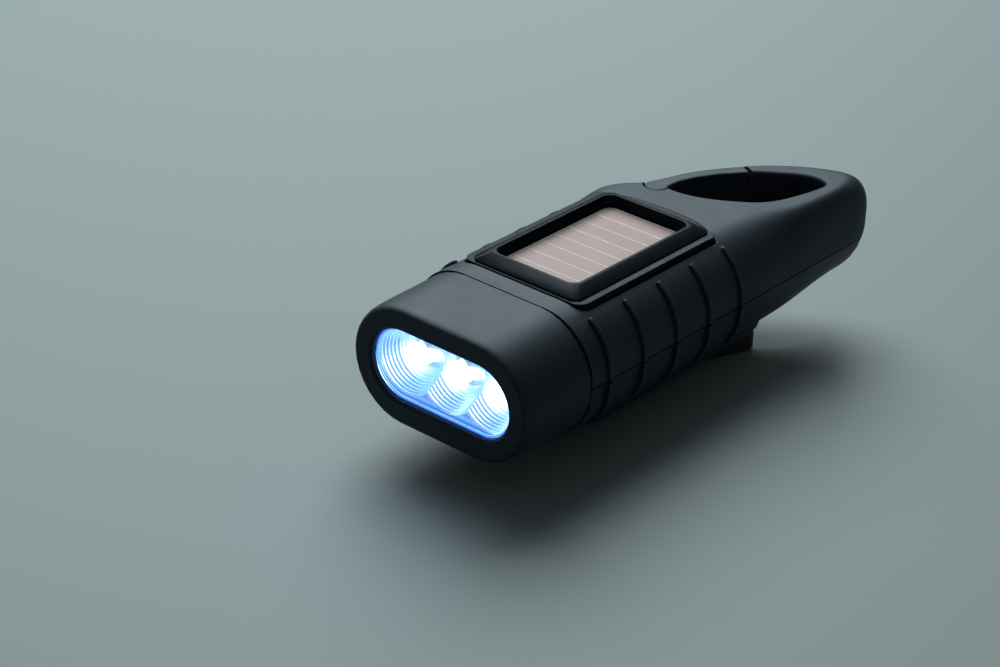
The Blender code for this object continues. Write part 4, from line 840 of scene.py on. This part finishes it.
def turned(name, line, axis_x, axis_z, sides, closed=False):
    """A solid spun from a line of radius and Y places, round an axis along Y."""
    count = len(line)
    edges = [(index, (index + 1) % count) for index in range(count if closed else count - 1)]
    mesh = bpy.data.meshes.new(name)
    mesh.from_pydata([(axis_x + radius, y, axis_z) for radius, y in line], edges, [])
    made = bpy.data.objects.new(name, mesh)
    bpy.context.scene.collection.objects.link(made)
    choose(made)
    bpy.ops.object.mode_set(mode="EDIT")
    bpy.ops.mesh.select_all(action="SELECT")
    bpy.ops.mesh.spin(steps=sides, angle=math.tau, center=(axis_x, 0, axis_z), axis=(0, 1, 0))
    bpy.ops.mesh.select_all(action="SELECT")
    bpy.ops.mesh.remove_doubles(threshold=WELD)
    bpy.ops.mesh.normals_make_consistent(inside=False)
    bpy.ops.object.mode_set(mode="OBJECT")
    return made


def bowl_cutter(centre):
    """A solid paraboloid that opens towards the lens, with a ripple for each ring."""
    line = [(0, -OVERRUN), (BOWL_RADIUS, -OVERRUN)]
    for step in range(BOWL_RINGS + 1):
        share = step / BOWL_RINGS
        radius = BOWL_THROAT + (BOWL_RADIUS - BOWL_THROAT) * math.sqrt(1 - share)
        radius -= BOWL_RIPPLE * (step % 2)
        line.append((radius, share * BOWL_DEPTH))
    line += [(BOWL_THROAT, reflector_depth + OVERRUN), (0, reflector_depth + OVERRUN)]
    made = turned("bowl_cutter", line, 0, 0, BOWL_SIDES)
    made.location = centre
    bpy.ops.object.transform_apply(location=True, rotation=False, scale=False)
    return made


reflector = slot_block("reflector_bowls", reflector_low, reflector_high, REFLECTOR_EDGE)
for place in (-1, 0, 1):
    cutter = bowl_cutter((place * LAMP_PITCH, reflector_low.y, lamp_height))
    combine(reflector, cutter, "DIFFERENCE")
finish_faces(reflector)

# The chrome's blue emission is a painted glow of the lamps' light in the bowls. The reflector
# itself is no lamp.
painted_glow_chrome = plain_look("painted_glow_chrome", CHROME, roughness=0.14, metallic=1.0)
roughness_drift(painted_glow_chrome, low=0.26, high=0.34, scale=400)
set_sockets(painted_glow_chrome, {"Emission Color": CHROME_PAINTED_GLOW, "Emission Strength": 0.55})
settle(reflector, painted_glow_chrome, "reflector")

# Lamps
# Three 5 mm clear epoxy lamps, each with a domed nose and a flange at its foot. They are
# lit, so their epoxy glows a cold white.

DOME_RADIUS = 2.5 * MM
DOME_STEPS = 10
LAMP_FLANGE = 1.0 * MM
LAMP_SIDES = 40
LAMP_WHITE = (0.90, 0.96, 1.0)
LAMP_GLOW = (0.62, 0.82, 1.0, 1)

lit_lamp = plain_look("lit_lamp", LAMP_WHITE, roughness=0.12)
set_sockets(lit_lamp, {"Emission Color": LAMP_GLOW, "Emission Strength": 2.8})
grain(lit_lamp, scale=900, strength=0.08, depth=0.05 * MM)

for node in ("led_1", "led_2", "led_3"):
    low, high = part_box(node)
    flange_radius = (high.x - low.x) / 2
    flange_front = high.y - LAMP_FLANGE
    lamp_line = [(0, low.y)]
    for step in range(1, DOME_STEPS + 1):
        turn = math.radians(90 * step / DOME_STEPS)
        dome_place = low.y + DOME_RADIUS * (1 - math.cos(turn))
        lamp_line.append((DOME_RADIUS * math.sin(turn), dome_place))
    lamp_line += [(DOME_RADIUS, flange_front), (flange_radius, flange_front)]
    lamp_line += [(flange_radius, high.y), (0, high.y)]
    lamp = turned(node + "_lit", lamp_line, (low.x + high.x) / 2, (low.z + high.z) / 2, LAMP_SIDES)
    finish_faces(lamp)
    settle(lamp, lit_lamp, node)

# Crank and knob
# A flat glass-filled nylon arm screwed to the drive shaft. The knob's steel post folds out
# of the arm's slot on a cross pin, and its grooved sleeve spins on the post.

ARM_EDGE = 0.25 * MM
POST_EDGE = 0.1 * MM
SLEEVE_BORE = 1.5 * MM
SLEEVE_SIDES = 48
SLEEVE_GROOVES = 9
GROOVE_WIDTH = 0.7 * MM
GROOVE_DEPTH = 0.35 * MM
GROOVE_FLOOR_SHARE = 0.4
CRANK_BLACK = (0.014, 0.016, 0.018)
ZINC = (0.56, 0.56, 0.57)

crank_black = plain_look("crank_black", CRANK_BLACK, roughness=0.42)
roughness_drift(crank_black, low=0.36, high=0.48, scale=180)
grain(crank_black, scale=3600, strength=0.2, depth=0.02 * MM)
settle(moulded_copy("crank_arm", ARM_EDGE), crank_black, "crank_arm")

zinc_steel = plain_look("zinc_steel", ZINC, roughness=0.3, metallic=1.0)
roughness_drift(zinc_steel, low=0.22, high=0.4, scale=1200)
settle(moulded_copy("knob_post", POST_EDGE), zinc_steel, "knob_post")
settle(moulded_copy("knob_pin", 0), zinc_steel, "knob_pin")

sleeve_low, sleeve_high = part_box("knob_sleeve")
sleeve_x = (sleeve_low.x + sleeve_high.x) / 2
sleeve_z = (sleeve_low.z + sleeve_high.z) / 2
sleeve_radius = (sleeve_high.x - sleeve_low.x) / 2
groove_radius = sleeve_radius - GROOVE_DEPTH
groove_pitch = (sleeve_high.y - sleeve_low.y) / (SLEEVE_GROOVES + 1)
sleeve_line = [(SLEEVE_BORE, sleeve_low.y), (groove_radius, sleeve_low.y)]
sleeve_line.append((sleeve_radius, sleeve_low.y + GROOVE_DEPTH))
for index in range(1, SLEEVE_GROOVES + 1):
    middle = sleeve_low.y + index * groove_pitch
    sleeve_line += [
        (sleeve_radius, middle - GROOVE_WIDTH / 2),
        (groove_radius, middle - GROOVE_WIDTH / 2 * GROOVE_FLOOR_SHARE),
        (groove_radius, middle + GROOVE_WIDTH / 2 * GROOVE_FLOOR_SHARE),
        (sleeve_radius, middle + GROOVE_WIDTH / 2),
    ]
sleeve_line.append((sleeve_radius, sleeve_high.y - GROOVE_DEPTH))
sleeve_line += [(groove_radius, sleeve_high.y), (SLEEVE_BORE, sleeve_high.y)]
sleeve = turned("knob_sleeve_ribbed", sleeve_line, sleeve_x, sleeve_z, SLEEVE_SIDES, closed=True)
finish_faces(sleeve)
settle(sleeve, crank_black, "knob_sleeve")

# Screws
# Pan heads in black oxide, each with a cross recess. Four close the case and one holds the
# crank on its shaft.

SCREW_EDGE = 0.12 * MM
RECESS_DEPTH = 0.6 * MM
RECESS_WIDTH_SHARE = 0.22
RECESS_REACH_SHARE = 0.62
BLACK_OXIDE = (0.03, 0.032, 0.036)

black_oxide = plain_look("black_oxide", BLACK_OXIDE, roughness=0.4, metallic=1.0)
roughness_drift(black_oxide, low=0.34, high=0.46, scale=800)

for node in (*CASE_SCREWS, "crank_screw"):
    screw = moulded_copy(node, SCREW_EDGE)
    low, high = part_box(node)
    centre = (low + high) / 2
    radius = (high.x - low.x) / 2
    half_bar, half_reach = RECESS_WIDTH_SHARE * radius, RECESS_REACH_SHARE * radius
    for half_x, half_y in ((half_bar, half_reach), (half_reach, half_bar)):
        recess = block(
            "recess",
            (centre.x - half_x, centre.y - half_y, low.z - OVERRUN),
            (centre.x + half_x, centre.y + half_y, low.z + RECESS_DEPTH),
        )
        combine(screw, recess, "DIFFERENCE")
    finish_faces(screw)
    settle(screw, black_oxide, node)

# Push button
# A satin cap in the underside, near the head. A flange inside the lower shell keeps it in,
# and it works a latching switch.

BUTTON_EDGE = 0.15 * MM
BUTTON_EDGE_STEPS = 3

button_cap = moulded_copy("push_button", BUTTON_EDGE, BUTTON_EDGE_STEPS)
settle(button_cap, satin_black, "push_button")

# Works inside the case
# Nylon gears on steel axles drive a small generator. The boards carry the switch and a
# rechargeable coin cell. The gate's pin is dressed here too, because it doesn't show either.

NYLON_WHITE = (0.78, 0.77, 0.72)
NYLON_TONES = ((0.80, 0.79, 0.74), (0.74, 0.73, 0.67))
BOARD_GREEN = (0.03, 0.16, 0.06)
BOARD_TONES = ((0.03, 0.17, 0.06), (0.02, 0.13, 0.05))
COPPER = (0.72, 0.35, 0.18)

nylon = plain_look("nylon_white", NYLON_WHITE, roughness=0.45)
colour_drift(nylon, *NYLON_TONES, scale=90)
board_green = plain_look("board_green", BOARD_GREEN, roughness=0.45)
colour_drift(board_green, *BOARD_TONES, scale=400)
copper = plain_look("copper_winding", COPPER, roughness=0.35, metallic=1.0)
roughness_drift(copper, low=0.25, high=0.45, scale=900)
inner_looks = {
    nylon: ("drive_gear", "first_idler", "second_idler", "gear_plate"),
    board_green: ("led_board", "main_board"),
    copper: ("generator_stator",),
    zinc_steel: ("rotor", "battery", "first_axle", "second_axle", "gate_pin"),
    satin_black: ("switch_body",),
}
for look, members in inner_looks.items():
    for node in members:
        inner = frame["nodes"][node]
        inner.data.materials.clear()
        inner.data.materials.append(look)

# Floor, light and camera
# A grey-green table under one large soft light from above and behind, seen from in front of
# the lamps.

FLOOR_SIZE = 6.0
FLOOR_COLOUR = (0.212, 0.260, 0.254)
FLOOR_ROUGHNESS = 0.6
WORLD_COLOUR = (0.86, 0.94, 1.0, 1)
WORLD_STRENGTH = 0.12
LIGHT_PLACE = Vector((-0.50, 0.40, 0.72))
LIGHT_TARGET = Vector((0, 0, 0.02))
LIGHT_SIZE = 0.8
LIGHT_POWER = 12.2
LIGHT_COLOUR = (0.88, 0.97, 1.0)
CAMERA_PLACE = Vector((0.29261, -0.38410, 0.27030))
CAMERA_AZIMUTH = math.radians(40.499)
CAMERA_ELEVATION = math.radians(28.451)
CAMERA_ROLL = math.radians(1.537)
CAMERA_LENS = 90.0
CAMERA_NEAR = 0.01

bpy.ops.object.select_all(action="DESELECT")
bpy.ops.mesh.primitive_plane_add(size=FLOOR_SIZE, location=(0, 0, 0))
floor = bpy.context.object
floor.name = "floor"
floor.data.materials.append(plain_look("floor_grey", FLOOR_COLOUR, FLOOR_ROUGHNESS))

world = bpy.data.worlds.new("studio")
bpy.context.scene.world = world
world.use_nodes = True
background = world.node_tree.nodes["Background"]
background.inputs["Color"].default_value = WORLD_COLOUR
background.inputs["Strength"].default_value = WORLD_STRENGTH

light_data = bpy.data.lights.new("back_light", "AREA")
light_data.size = LIGHT_SIZE
light_data.energy = LIGHT_POWER
light_data.color = LIGHT_COLOUR
light = bpy.data.objects.new("back_light", light_data)
bpy.context.scene.collection.objects.link(light)
light.location = LIGHT_PLACE
light.rotation_euler = (LIGHT_TARGET - LIGHT_PLACE).to_track_quat("-Z", "Y").to_euler()

towards_camera = Vector((
    math.sin(CAMERA_AZIMUTH) * math.cos(CAMERA_ELEVATION),
    -math.cos(CAMERA_AZIMUTH) * math.cos(CAMERA_ELEVATION),
    math.sin(CAMERA_ELEVATION),
))
level_right = (-towards_camera).cross(Vector((0, 0, 1))).normalized()
level_up = level_right.cross(-towards_camera)
camera_right = math.cos(CAMERA_ROLL) * level_right + math.sin(CAMERA_ROLL) * level_up
camera_up = -math.sin(CAMERA_ROLL) * level_right + math.cos(CAMERA_ROLL) * level_up
camera_data = bpy.data.cameras.new("camera")
camera_data.lens = CAMERA_LENS
camera_data.clip_start = CAMERA_NEAR
camera = bpy.data.objects.new("camera", camera_data)
bpy.context.scene.collection.objects.link(camera)
camera_turn = Matrix((camera_right, camera_up, towards_camera)).transposed().to_4x4()
camera.matrix_world = Matrix.Translation(CAMERA_PLACE) @ camera_turn
bpy.context.scene.camera = camera
bpy.context.scene.view_settings.view_transform = "Standard"
